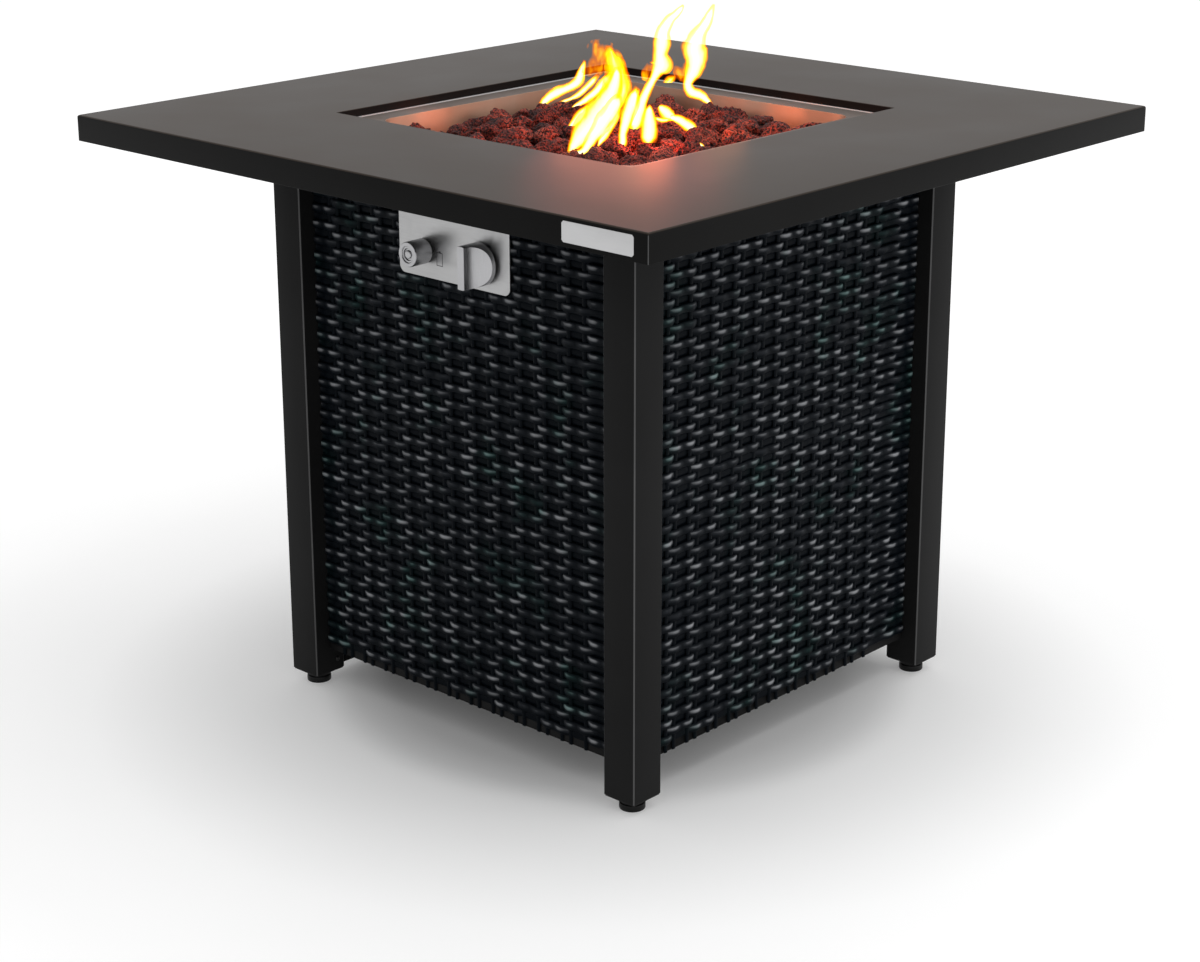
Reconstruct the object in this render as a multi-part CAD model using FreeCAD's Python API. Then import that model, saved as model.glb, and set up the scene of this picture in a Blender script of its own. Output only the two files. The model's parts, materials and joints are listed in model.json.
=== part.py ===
import FreeCAD, Part
import math
import os
import random

# Square gas fire pit table, in millimetres.
# +Z is up, the origin is on the floor at the middle of the table, and the control side faces -Y.
# The access door for the gas cylinder is on the -X side.

Vector = FreeCAD.Vector

# Overall size
TABLE_SIDE = 800.0
TABLE_HEIGHT = 645.0

# Pressed table top
TOP_SHEET = 1.2
SKIRT_HEIGHT = 27.7
SKIRT_FOLD_RADIUS = 2.5
SKIRT_LIP = 15.0
OPENING_SIDE = 417.0
OPENING_FOLD_RADIUS = 1.0
RECESS_DEPTH = 8.8
LEDGE_WIDTH = 25.0

# Burner pan
PAN_SHEET = 1.0
PAN_FLANGE_CLEARANCE = 0.8
PAN_FLANGE_CORNER = 4.0
PAN_MOUTH_SIDE = 356.0
PAN_CORNER = 19.0
PAN_DEPTH = 62.0

# Fits
RUNNING_CLEARANCE = 0.05
THREAD_CLEARANCE = 0.05
HOLE_CLEARANCE = 0.3

# Burner of square tube under the rocks
BURNER_ARM_SIDE = 14.0
BURNER_CROSS_SIDE = 12.0
BURNER_WALL = 1.0
BURNER_AXIS_RISE = 13.0
BURNER_ARM_SPACING = 188.0
BURNER_ARM_LENGTH = 190.0
BURNER_SLITS_PER_ARM = 5
BURNER_SLIT_PITCH = 36.0
BURNER_SLIT_WIDTH = 2.0
BURNER_SLIT_DEPTH = 1.6
HUB_SIDE = 32.0
LOCKNUT_FLATS = 27.0
LOCKNUT_HEIGHT = 7.0

# Air mixer, which is the burner's foot under the pan, and the jet in its end
MIXER_RADIUS = 9.0
MIXER_BORE_RADIUS = 6.5
MIXER_LENGTH = 55.0
MIXER_FOOT_WALL = 4.0
MIXER_WINDOW_WIDTH = 7.0
MIXER_WINDOW_HEIGHT = 12.0
MIXER_WINDOW_RISE = 15.0
JET_RADIUS = 5.0
JET_PLUG_LENGTH = 12.0
JET_COLLAR_LENGTH = 10.0

# Gas pipe from the valve to the jet
PIPE_RADIUS = 4.0
PIPE_BEND_REACH = 10.0
PIPE_OUT = 24.0
PIPE_LOW_DROP = 47.0
PIPE_NUT_FLATS = 14.0
PIPE_NUT_LENGTH = 12.0

# Spark electrode and flame sensor in the pan
PROBE_SPREAD = 12.0
PROBE_FORWARD = 34.0
PROBE_RADIUS = 3.0
PROBE_DROP = 18.0
PROBE_SLOT_MARGIN = 4.5
PROBE_PLATE_MARGIN = 6.0
PROBE_PLATE_THICKNESS = 1.5
FLAME_SENSOR_RISE = 18.0
SPARK_INSULATOR_RISE = 11.0
SPARK_WIRE_RADIUS = 1.0
SPARK_WIRE_RISE = 6.0
SPARK_GAP = 4.0

# Lava rocks, one to a cell of a square grid that the burner's arms run along
ROCK_CELLS_BETWEEN_ARMS = 4
ROCK_SIDES = 4
ROCK_GAP = 0.8
ROCK_SEAT = 0.3
ROCK_BELOW_RIM_LEAST = 3.0
ROCK_BELOW_RIM_MOST = 15.0
ROCK_CORNER_SHARE = 0.66
ROCK_SEED = 5

# Legs and feet
LEG_SIDE = 41.0
LEG_OUTSIDE_RECESS = 7.3
LEG_WALL = 1.5
LEG_CORNER = 1.2
LEG_CAP = 3.0
FOOT_HEIGHT = 13.5
FOOT_RADIUS = 13.4
FOOT_FLANGE = 1.5
FOOT_PLUG_HEIGHT = 18.0

# Upper rails between the legs
RAIL_SIDE = 25.0
RAIL_WALL = 1.5
RAIL_INSET = 5.0

# Woven panels
PANEL_RECESS = 17.0
PANEL_CLEARANCE_BELOW = 29.0
PANEL_SIDE_GAP = 0.3
PANEL_TOP_GAP = 3.0
WEAVE_THICKNESS = 4.0
FRAME_TUBE = 15.0
FRAME_WALL = 1.2

# Clips under the table top
CLIP_LENGTH = 24.0
CLIP_REACH = 16.0
CLIP_SHEET = 2.0
CLIP_SPREAD = 150.0

# Access door and its sill
SILL_SIDE = 20.0
SILL_LIFT = 1.5
SILL_PROUD = 5.0
DOOR_GAP = 3.0
HINGE_HEIGHT = 60.0
HINGE_INSET = 70.0
HINGE_LEAF = 1.5
HINGE_LEAF_GAP = 0.5
HINGE_KNUCKLE_RADIUS = 3.3
HINGE_BLOCK_SIDE = 5.8
HINGE_PIN_RADIUS = 1.5
HINGE_KNUCKLE_STANDOFF = 4.5
HINGE_KNUCKLE_GAP = 0.4
DOOR_KNOB_SIDE = 24.0
DOOR_KNOB_HEAD_LENGTH = 11.0
DOOR_KNOB_NECK_SIDE = 12.0
DOOR_KNOB_NECK_LENGTH = 11.0
DOOR_KNOB_CHAMFER = 2.5
DOOR_KNOB_FROM_EDGE = 26.0
CATCH_HEIGHT = 40.0
CATCH_WIDTH = 19.0
CATCH_DEPTH = 16.0
CATCH_GAP = 0.3
CATCH_POLE = 4.0
CATCH_GROOVE_DEPTH = 2.0
STRIKE_SHEET = 1.5
STRIKE_MARGIN = 5.0

# Control plate
CONTROL_DROP = 115.0
PLATE_WIDTH = 158.0
PLATE_BELOW_CONTROLS = 28.0
PLATE_ABOVE_CONTROLS = 60.0
PLATE_OVER_MID_RAIL = 16.0
PLATE_SHEET = 1.5
PLATE_CORNER = 8.0
PLATE_STANDOFF = 0.3
TRAY_WIDTH = 139.0
TRAY_INSET = 6.0
TRAY_TAB = 12.0
TRAY_CLEARANCE = 2.0
BRACKET_SHEET = 1.5
BRACKET_FOLD = 4.0

# Gas valve and knob
KNOB_X = 41.0
KNOB_RADIUS = 22.0
KNOB_STANDOUT = 30.0
KNOB_DISC = 4.0
KNOB_GRIP_WIDTH = 9.0
KNOB_PUSH = 3.0
KNOB_PUSH_SPARE = 0.4
KNOB_SOCKET_DEPTH = 14.0
STEM_RADIUS = 4.0
STEM_FLAT = 2.6
STEM_HOLE_RADIUS = 6.0
VALVE_NECK_RADIUS = 8.0
VALVE_NECK_LENGTH = 11.0
VALVE_NUT_FLATS = 22.0
VALVE_NUT_LENGTH = 5.0
VALVE_BLOCK_SIDE = 25.0
VALVE_BLOCK_LENGTH = 26.0
VALVE_CHAMFER = 4.0
VALVE_ARM_FLATS = 15.0
VALVE_ARM_REACH = 21.0
VALVE_CAP_FLATS = 18.0
VALVE_CAP_LENGTH = 6.0
INLET_RADIUS = 7.9
INLET_LENGTH = 16.0
INLET_HEX_FLATS = 19.0
INLET_HEX_LENGTH = 6.0

# Igniter
IGNITER_X = -40.0
IGNITER_STANDOUT = 26.0
IGNITER_NUT_FLATS = 22.0
IGNITER_NUT_LENGTH = 3.0
IGNITER_THREAD_RADIUS = 10.0
IGNITER_THREAD_STANDOUT = 15.0
IGNITER_BODY_SIDE = 24.0
IGNITER_BODY_LENGTH = 46.0
IGNITER_BORE_RADIUS = 7.6
IGNITER_BACK_WALL = 2.0
TERMINAL_WIDTH = 6.3
TERMINAL_SHEET = 0.8
TERMINAL_LENGTH = 9.0
CAP_RADIUS = 13.0
CAP_FACE_WALL = 3.0
CAP_GAP = 0.3
BUTTON_RADIUS = 6.5
BUTTON_FLANGE_SIDE = 13.8
BUTTON_FLANGE_LENGTH = 1.5
BUTTON_FLANGE_GAP = 0.3
BUTTON_RECESS = 0.6
BATTERY_RADIUS = 7.25
BATTERY_LENGTH = 50.5

# Heat shield between the pan and the controls
SHIELD_SHEET = 1.0
SHIELD_WIDTH = 220.0
SHIELD_BELOW_PLATE = 2.0
SHIELD_LIP = 12.0
SHIELD_PAN_GAP = 3.5

# Badge plate on the skirt, left blank
BADGE_WIDTH = 84.0
BADGE_HEIGHT = 19.3
BADGE_SHEET = 0.8
BADGE_FROM_CORNER = 16.0
BADGE_BELOW_TOP = 4.0
BADGE_CORNER = 2.0

# Heights and faces that follow from the sizes above
TOP_UNDERSIDE = TABLE_HEIGHT - TOP_SHEET
PAN_RIM_Z = TABLE_HEIGHT - RECESS_DEPTH
LEDGE_Z = PAN_RIM_Z - PAN_SHEET
PAN_FLOOR_Z = PAN_RIM_Z - PAN_DEPTH
BURNER_Z = PAN_FLOOR_Z + BURNER_AXIS_RISE
MIXER_FOOT = PAN_FLOOR_Z - PAN_SHEET - MIXER_LENGTH
JET_FOOT = MIXER_FOOT - JET_COLLAR_LENGTH
LEG_INNER = OPENING_SIDE / 2 + TOP_SHEET + LEG_OUTSIDE_RECESS
BASE_HALF = LEG_INNER + LEG_SIDE
LEG_FOOT = FOOT_HEIGHT + FOOT_FLANGE
RAIL_BOTTOM = TOP_UNDERSIDE - RAIL_SIDE
RAIL_OUTER = BASE_HALF - RAIL_INSET
RAIL_INNER = RAIL_OUTER - RAIL_SIDE
PANEL_BOTTOM = FOOT_HEIGHT + PANEL_CLEARANCE_BELOW
PANEL_TOP = RAIL_BOTTOM - PANEL_TOP_GAP
PANEL_HALF = LEG_INNER - PANEL_SIDE_GAP
WEAVE_OUTER = BASE_HALF - PANEL_RECESS
FRAME_OUTER = WEAVE_OUTER - WEAVE_THICKNESS
FRAME_INNER = FRAME_OUTER - FRAME_TUBE
SIDE_MID_RAIL = (PANEL_BOTTOM + PANEL_TOP - FRAME_TUBE) / 2
SILL_BOTTOM = FOOT_HEIGHT + SILL_LIFT
DOOR_BOTTOM = SILL_BOTTOM + SILL_SIDE + DOOR_GAP
HINGE_X = -(WEAVE_OUTER + HINGE_KNUCKLE_STANDOFF)
HINGE_Y = LEG_INNER - 2 * HINGE_LEAF - HINGE_LEAF_GAP
CONTROL_HEIGHT = TABLE_HEIGHT - CONTROL_DROP
PLATE_BOTTOM = CONTROL_HEIGHT - PLATE_BELOW_CONTROLS
PLATE_TOP = CONTROL_HEIGHT + PLATE_ABOVE_CONTROLS
FRONT_MID_RAIL = PLATE_BOTTOM - PLATE_OVER_MID_RAIL
SHIELD_BOTTOM = PLATE_BOTTOM - SHIELD_BELOW_PLATE
PLATE_BACK = -(WEAVE_OUTER + PLATE_STANDOFF)
PLATE_FACE = PLATE_BACK - PLATE_SHEET
BRACKET_BACK = -FRAME_INNER + BRACKET_SHEET
KNOB_FACE = PLATE_FACE - KNOB_STANDOUT
KNOB_BACK = PLATE_FACE - KNOB_PUSH - KNOB_PUSH_SPARE
CAP_FACE = PLATE_FACE - IGNITER_STANDOUT
CAP_BACK = PLATE_FACE - IGNITER_NUT_LENGTH - CAP_GAP
VALVE_BACK = BRACKET_BACK + VALVE_BLOCK_LENGTH
VALVE_MIDDLE = BRACKET_BACK + VALVE_BLOCK_LENGTH / 2
STEM_END = VALVE_MIDDLE
CATCH_MIDDLE = (PANEL_BOTTOM + PANEL_TOP) / 2
CORNERS = {
    "front_left": (-1, -1),
    "front_right": (1, -1),
    "back_left": (-1, 1),
    "back_right": (1, 1),
}


# Basic forms

def box(x, y, z):
    """A block between two limits on each axis."""
    low = Vector(min(x), min(y), min(z))
    return Part.makeBox(max(x) - low.x, max(y) - low.y, max(z) - low.z, low)


def rod(radius, start, end):
    """A round bar between two points."""
    along = end - start
    return Part.makeCylinder(radius, along.Length, start, along)


def upright(x, y, radius, bottom, top):
    """A round bar that stands between two heights."""
    return rod(radius, Vector(x, y, bottom), Vector(x, y, top))


def square_plate(side, z, corner):
    """The outline of a square with rounded corners, at one height."""
    half = side / 2
    edges = []
    for turn in range(4):
        matrix = FreeCAD.Rotation(Vector(0, 0, 1), 90 * turn)
        start = matrix.multVec(Vector(half, corner - half, z))
        end = matrix.multVec(Vector(half, half - corner, z))
        reach = half - corner + corner * math.sqrt(0.5)
        middle = matrix.multVec(Vector(reach, reach, z))
        finish = matrix.multVec(Vector(half - corner, half, z))
        edges.append(Part.makeLine(start, end))
        edges.append(Part.Arc(end, middle, finish).toShape())
    return Part.Wire(edges)


def hexagon(flats, length, place, axis):
    """A hexagonal bar, sized across its flats, from a place along an axis."""
    radius = flats / math.sqrt(3)
    turns = [math.radians(60 * step) for step in range(6)]
    points = [Vector(radius * math.cos(turn), radius * math.sin(turn), 0) for turn in turns]
    bar = polygon_face(points).extrude(Vector(0, 0, length))
    bar.Placement = FreeCAD.Placement(place, FreeCAD.Rotation(Vector(0, 0, 1), axis))
    return bar


def polygon_face(points):
    return Part.Face(Part.makePolygon(points + [points[0]]))


def solid_of(shape):
    """The one solid in a shape, turned right side out."""
    solid = shape if shape.ShapeType == "Solid" else shape.Solids[0]
    if solid.Volume < 0:
        solid.reverse()
    return solid


def fused(shapes):
    """One solid from several that meet."""
    joined = shapes[0].multiFuse(shapes[1:])
    return joined.removeSplitter()


def rounded(shape, radius, wanted):
    """The shape with every edge that the test picks rounded off."""
    edges = [edge for edge in shape.Edges if wanted(edge)]
    return shape.makeFillet(radius, edges)


def runs_along(edge, axis):
    """Whether an edge is straight and parallel to an axis."""
    ends = [vertex.Point for vertex in edge.Vertexes]
    if len(ends) < 2:
        return False
    span = ends[1] - ends[0]
    return abs(abs(span.dot(axis)) - span.Length) < 1e-6 and abs(span.Length - edge.Length) < 1e-6


def on_side(shape, quarter_turns):
    """A front-side shape turned to another side of the table."""
    moved = shape.copy()
    moved.rotate(Vector(0, 0, 0), Vector(0, 0, 1), 90 * quarter_turns)
    return moved


def tube_between(x, y, z, wall, along):
    """A square tube that fills the limits, open at its two ends along one axis."""
    outer = box(x, y, z)
    limits = {"x": x, "y": y, "z": z}
    for name in limits:
        low = min(limits[name])
        high = max(limits[name])
        limits[name] = (low - 1, high + 1) if name == along else (low + wall, high - wall)
    return outer.cut(box(limits["x"], limits["y"], limits["z"]))


# Table top

def table_top():
    half = TABLE_SIDE / 2
    opening = OPENING_SIDE / 2
    foot = TABLE_HEIGHT - SKIRT_HEIGHT
    shell = box((-half, half), (-half, half), (foot, TABLE_HEIGHT))
    shell = rounded(shell, SKIRT_FOLD_RADIUS, lambda edge: edge.CenterOfMass.z > TABLE_HEIGHT - 1)
    inner = half - TOP_SHEET
    mouth = half - SKIRT_LIP
    shell = shell.cut(box((-inner, inner), (-inner, inner), (foot + TOP_SHEET, TOP_UNDERSIDE)))
    shell = shell.cut(box((-mouth, mouth), (-mouth, mouth), (foot - 1, foot + TOP_SHEET + 1)))
    wall = opening + TOP_SHEET
    shell = shell.fuse(box((-wall, wall), (-wall, wall), (LEDGE_Z - TOP_SHEET, TABLE_HEIGHT)))
    shell = shell.cut(box((-opening, opening), (-opening, opening), (LEDGE_Z, TABLE_HEIGHT + 1)))
    ledge = opening - LEDGE_WIDTH
    shell = shell.cut(box((-ledge, ledge), (-ledge, ledge), (LEDGE_Z - 5, TABLE_HEIGHT + 1)))
    shell = shell.removeSplitter()

    def opening_edge(edge):
        middle = edge.CenterOfMass
        reach = max(abs(middle.x), abs(middle.y))
        return abs(middle.z - TABLE_HEIGHT) < 0.01 and reach < opening + 1

    return rounded(shell, OPENING_FOLD_RADIUS, opening_edge)


def top_clips():
    """Two angle clips on each rail, spot-welded under the top."""
    clips = []
    face = -RAIL_INNER
    for quarter in range(4):
        for side in (-1, 1):
            x = (side * CLIP_SPREAD - CLIP_LENGTH / 2, side * CLIP_SPREAD + CLIP_LENGTH / 2)
            upright = box(x, (face, face + CLIP_SHEET), (TOP_UNDERSIDE - CLIP_REACH, TOP_UNDERSIDE))
            shelf = box(x, (face, face + CLIP_REACH), (TOP_UNDERSIDE - CLIP_SHEET, TOP_UNDERSIDE))
            clips.append(on_side(fused([upright, shelf]), quarter))
    return Part.makeCompound(clips)


def badge_plate():
    right = TABLE_SIDE / 2 - BADGE_FROM_CORNER
    top = TABLE_HEIGHT - BADGE_BELOW_TOP
    face = -TABLE_SIDE / 2
    plate = box((right - BADGE_WIDTH, right), (face - BADGE_SHEET, face), (top - BADGE_HEIGHT, top))
    corners = [edge for edge in plate.Edges if runs_along(edge, Vector(0, 1, 0))]
    return plate.makeChamfer(BADGE_CORNER, corners)


# Burner pan

def pan_block(skin, floor_z):
    """The pan's hollow up to its rim, or with a skin its outside."""
    outline = square_plate(PAN_MOUTH_SIDE + 2 * skin, floor_z, PAN_CORNER + skin)
    return Part.Face(outline).extrude(Vector(0, 0, PAN_RIM_Z - floor_z))


def burner_pan():
    """A deep tray on a wide flange, with a hole for the burner's foot and a slot for the probes."""
    flange_side = OPENING_SIDE - 2 * PAN_FLANGE_CLEARANCE
    flange = Part.Face(square_plate(flange_side, LEDGE_Z, PAN_FLANGE_CORNER))
    flange = flange.extrude(Vector(0, 0, PAN_SHEET))
    under = PAN_FLOOR_Z - PAN_SHEET
    pan = fused([flange, pan_block(PAN_SHEET, under)]).cut(pan_block(0, PAN_FLOOR_Z))
    pan = pan.cut(upright(0, 0, MIXER_RADIUS + HOLE_CLEARANCE, MIXER_FOOT, BURNER_Z))
    reach = PROBE_SPREAD + PROBE_SLOT_MARGIN
    slot_y = (-PROBE_FORWARD - PROBE_SLOT_MARGIN, -PROBE_FORWARD + PROBE_SLOT_MARGIN)
    return pan.cut(box((-reach, reach), slot_y, (under - 1, PAN_FLOOR_Z + 1)))


# Burner

def burner_tubes(wall):
    """Two square arms and the tube across between them, or what is inside a wall of them."""
    arm = BURNER_ARM_SIDE / 2 - wall
    cross = BURNER_CROSS_SIDE / 2 - wall
    arm_x = BURNER_ARM_SPACING / 2
    arm_y = BURNER_ARM_LENGTH / 2 - wall
    tubes = [box((-arm_x, arm_x), (-cross, cross), (BURNER_Z - cross, BURNER_Z + cross))]
    for x in (-arm_x, arm_x):
        tubes.append(box((x - arm, x + arm), (-arm_y, arm_y), (BURNER_Z - arm, BURNER_Z + arm)))
    return tubes


def burner_slits():
    """Saw-cut gas ports across the top of each arm."""
    reach = BURNER_ARM_SIDE / 2
    top = BURNER_Z + reach
    slits = []
    for index in range(BURNER_SLITS_PER_ARM):
        y = (index - (BURNER_SLITS_PER_ARM - 1) / 2) * BURNER_SLIT_PITCH
        for x in (-BURNER_ARM_SPACING / 2, BURNER_ARM_SPACING / 2):
            across = (x - reach - 1, x + reach + 1)
            along = (y - BURNER_SLIT_WIDTH / 2, y + BURNER_SLIT_WIDTH / 2)
            slits.append(box(across, along, (top - BURNER_SLIT_DEPTH, top + 1)))
    return Part.makeCompound(slits)


def burner():
    """An H of square tube on a hub block, with the air mixer as its foot down through the pan."""
    hub = HUB_SIDE / 2
    outside = burner_tubes(0)
    outside.append(box((-hub, hub), (-hub, hub), (PAN_FLOOR_Z, BURNER_Z + BURNER_ARM_SIDE / 2)))
    outside.append(upright(0, 0, MIXER_RADIUS, MIXER_FOOT, BURNER_Z))
    gas_way = burner_tubes(BURNER_WALL)
    bore_foot = MIXER_FOOT + MIXER_FOOT_WALL
    gas_way.append(upright(0, 0, MIXER_BORE_RADIUS, bore_foot, BURNER_Z))
    gas_way.append(upright(0, 0, JET_RADIUS + THREAD_CLEARANCE, MIXER_FOOT - 1, bore_foot))
    return fused(outside).cut(fused(gas_way)).cut(burner_slits()).cut(mixer_window())


def mixer_window():
    """The way through both sides of the mixer where the air comes in."""
    half_width = MIXER_WINDOW_WIDTH / 2
    low = MIXER_FOOT + MIXER_WINDOW_RISE - MIXER_WINDOW_HEIGHT / 2
    reach = (-MIXER_RADIUS - 1, MIXER_RADIUS + 1)
    return box(reach, (-half_width, half_width), (low, low + MIXER_WINDOW_HEIGHT))


def burner_locknut():
    under = PAN_FLOOR_Z - PAN_SHEET
    nut = hexagon(LOCKNUT_FLATS, LOCKNUT_HEIGHT, Vector(0, 0, under), Vector(0, 0, -1))
    return nut.cut(upright(0, 0, MIXER_RADIUS + THREAD_CLEARANCE, MIXER_FOOT, BURNER_Z))


def gas_jet():
    """The jet: a hexagon under the mixer's foot, and its plug inside the mixer."""
    plug = upright(0, 0, JET_RADIUS, MIXER_FOOT - 1, MIXER_FOOT + JET_PLUG_LENGTH)
    collar = hexagon(PIPE_NUT_FLATS, JET_COLLAR_LENGTH, Vector(0, 0, MIXER_FOOT), Vector(0, 0, -1))
    return fused([plug, collar])


# Gas pipe

def pipe_corners():
    """The pipe's route: sideways out of the valve, down, back under the pan and up to the jet."""
    low = CONTROL_HEIGHT - PIPE_LOW_DROP
    start = KNOB_X + VALVE_ARM_REACH
    out = start + PIPE_OUT
    return [
        Vector(start, VALVE_MIDDLE, CONTROL_HEIGHT),
        Vector(out, VALVE_MIDDLE, CONTROL_HEIGHT),
        Vector(out, VALVE_MIDDLE, low),
        Vector(0, 0, low),
        Vector(0, 0, JET_FOOT),
    ]


def eased(corners, reach):
    """The corners of a route, each inner one replaced by the two ends of a slant across it."""
    points = [corners[0]]
    for before, corner, after in zip(corners, corners[1:], corners[2:]):
        points.append(corner + (before - corner).normalize() * reach)
        points.append(corner + (after - corner).normalize() * reach)
    return points + [corners[-1]]


def bar_along(points, radius):
    """A round bar along straight runs, mitred where they meet."""
    section = Part.Wire([Part.Circle(points[0], points[1] - points[0], radius).toShape()])
    sharp_corners = 1
    return solid_of(Part.makePolygon(points).makePipeShell([section], True, False, sharp_corners))


def gas_pipe():
    """The pipe, with the nut on each of its flared ends."""
    corners = pipe_corners()
    parts = [bar_along(eased(corners, PIPE_BEND_REACH), PIPE_RADIUS)]
    for place, following in ((corners[0], corners[1]), (corners[-1], corners[-2])):
        parts.append(hexagon(PIPE_NUT_FLATS, PIPE_NUT_LENGTH, place, following - place))
    return fused(parts)


# Spark electrode and flame sensor

def probe_plate():
    """A small plate on the pan floor that carries both probes."""
    reach = PROBE_SPREAD + PROBE_PLATE_MARGIN
    y = (-PROBE_FORWARD - PROBE_PLATE_MARGIN, -PROBE_FORWARD + PROBE_PLATE_MARGIN)
    plate = box((-reach, reach), y, (PAN_FLOOR_Z, PAN_FLOOR_Z + PROBE_PLATE_THICKNESS))
    half = PROBE_RADIUS + RUNNING_CLEARANCE
    hole_y = (-PROBE_FORWARD - half, -PROBE_FORWARD + half)
    for x in (-PROBE_SPREAD, PROBE_SPREAD):
        plate = plate.cut(box((x - half, x + half), hole_y, (PAN_FLOOR_Z - 1, BURNER_Z)))
    return plate


def probe(x, rise):
    """A round probe from below the pan up to a height above its floor."""
    return upright(x, -PROBE_FORWARD, PROBE_RADIUS, PAN_FLOOR_Z - PROBE_DROP, PAN_FLOOR_Z + rise)


def spark_insulator():
    return probe(-PROBE_SPREAD, SPARK_INSULATOR_RISE)


def spark_wire():
    """The bare wire that bends over from the insulator towards the burner's hub."""
    foot = Vector(-PROBE_SPREAD, -PROBE_FORWARD, PAN_FLOOR_Z + SPARK_INSULATOR_RISE)
    bend = foot + Vector(0, 0, SPARK_WIRE_RISE)
    tip = Vector(bend.x, -HUB_SIDE / 2 - SPARK_GAP, bend.z)
    return bar_along([foot, bend, tip], SPARK_WIRE_RADIUS)


def flame_sensor():
    return probe(PROBE_SPREAD, FLAME_SENSOR_RISE)


# Lava rocks

def rock(rng, x, y, low, high, reach):
    """One flat-faced rock: three similar uneven rings between a flat foot and a flat top."""
    step = 2 * math.pi / ROCK_SIDES
    start = rng.uniform(0, step)
    turns = [start + step * (index + rng.uniform(-0.2, 0.2)) for index in range(ROCK_SIDES)]
    waist = low + (high - low) * rng.uniform(0.35, 0.6)
    rings = []
    for z, share in ((low, rng.uniform(0.6, 0.8)), (waist, 1.0), (high, rng.uniform(0.4, 0.6))):
        spare = reach * (1 - share) * 0.5
        middle = Vector(x + rng.uniform(-spare, spare), y + rng.uniform(-spare, spare), z)
        rings.append([middle + Vector(math.cos(t), math.sin(t), 0) * (reach * share) for t in turns])
    faces = [polygon_face(rings[0]), polygon_face(rings[-1])]
    for lower, upper in zip(rings, rings[1:]):
        for index in range(ROCK_SIDES):
            following = (index + 1) % ROCK_SIDES
            faces.append(polygon_face([lower[index], lower[following], upper[following], upper[index]]))
    return solid_of(Part.Solid(Part.Shell(faces)))


def rock_seat(x, y, reach):
    """The height a rock rests at, or nothing where a tube or the probe plate is in its way."""
    over_plate_x = abs(x) < reach + PROBE_SPREAD + PROBE_PLATE_MARGIN
    over_plate_y = abs(y + PROBE_FORWARD) < reach + PROBE_PLATE_MARGIN
    if over_plate_x and over_plate_y:
        return None
    if max(abs(x), abs(y)) < HUB_SIDE / 2:
        return BURNER_Z + BURNER_ARM_SIDE / 2 + ROCK_SEAT
    beside_arm = abs(x) - BURNER_ARM_SPACING / 2
    to_cross = math.hypot(y, max(beside_arm, 0))
    to_arm = math.hypot(beside_arm, max(abs(y) - BURNER_ARM_LENGTH / 2, 0))
    seat = PAN_FLOOR_Z
    for distance, side in ((to_cross, BURNER_CROSS_SIDE), (to_arm, BURNER_ARM_SIDE)):
        if distance < side / 2:
            seat = BURNER_Z + side / 2 + ROCK_SEAT
        elif distance < side / 2 + reach:
            return None
    return seat


def lava_rocks():
    """One layer of rocks, on the pan floor or, where a burner tube runs, on the tube."""
    rng = random.Random(ROCK_SEED)
    pitch = BURNER_ARM_SPACING / ROCK_CELLS_BETWEEN_ARMS
    reach = (pitch - ROCK_GAP) / 2
    count = int((PAN_MOUTH_SIDE / 2 - reach) / pitch)
    rocks = []
    for column in range(-count, count + 1):
        for row in range(-count, count + 1):
            x = column * pitch
            y = row * pitch
            in_corner = abs(column) == count and abs(row) == count
            size = reach * (ROCK_CORNER_SHARE if in_corner else 1)
            top = PAN_RIM_Z - rng.uniform(ROCK_BELOW_RIM_LEAST, ROCK_BELOW_RIM_MOST)
            seat = rock_seat(x, y, size)
            if seat is not None:
                rocks.append(rock(rng, x, y, seat, top, size))
    return Part.makeCompound(rocks)


# Legs and feet

def leg(corner):
    """A square tube leg, closed at its top by a welded cap."""
    half = LEG_SIDE / 2
    outer = box((-half, half), (-half, half), (LEG_FOOT, TOP_UNDERSIDE))
    corners = [edge for edge in outer.Edges if runs_along(edge, Vector(0, 0, 1))]
    outer = outer.makeChamfer(LEG_CORNER, corners)
    inner = half - LEG_WALL
    hollow = box((-inner, inner), (-inner, inner), (LEG_FOOT - 1, TOP_UNDERSIDE - LEG_CAP))
    return placed_at_corner(outer.cut(hollow), corner)


def placed_at_corner(shape, corner):
    """The shape moved onto a leg's axis."""
    axis = BASE_HALF - LEG_SIDE / 2
    moved = shape.copy()
    moved.translate(Vector(corner[0] * axis, corner[1] * axis, 0))
    return moved


def feet():
    """The push-in feet: a round pad, a flange under the leg's walls and a plug inside them."""
    flange = LEG_SIDE / 2
    plug = flange - LEG_WALL
    foot = fused([
        upright(0, 0, FOOT_RADIUS, 0, FOOT_HEIGHT),
        box((-flange, flange), (-flange, flange), (FOOT_HEIGHT, LEG_FOOT)),
        box((-plug, plug), (-plug, plug), (LEG_FOOT, LEG_FOOT + FOOT_PLUG_HEIGHT)),
    ])
    return Part.makeCompound([placed_at_corner(foot, corner) for corner in CORNERS.values()])


# Rails

def upper_rail(quarter):
    y = (-RAIL_OUTER, -RAIL_INNER)
    tube = tube_between((-LEG_INNER, LEG_INNER), y, (RAIL_BOTTOM, TOP_UNDERSIDE), RAIL_WALL, "x")
    return on_side(tube, quarter)


def door_sill():
    """The rail between the two left legs, under the door."""
    y = (-WEAVE_OUTER - SILL_PROUD, -WEAVE_OUTER - SILL_PROUD + SILL_SIDE)
    z = (SILL_BOTTOM, SILL_BOTTOM + SILL_SIDE)
    return on_side(tube_between((-LEG_INNER, LEG_INNER), y, z, RAIL_WALL, "x"), 3)


# Woven panels

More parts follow.
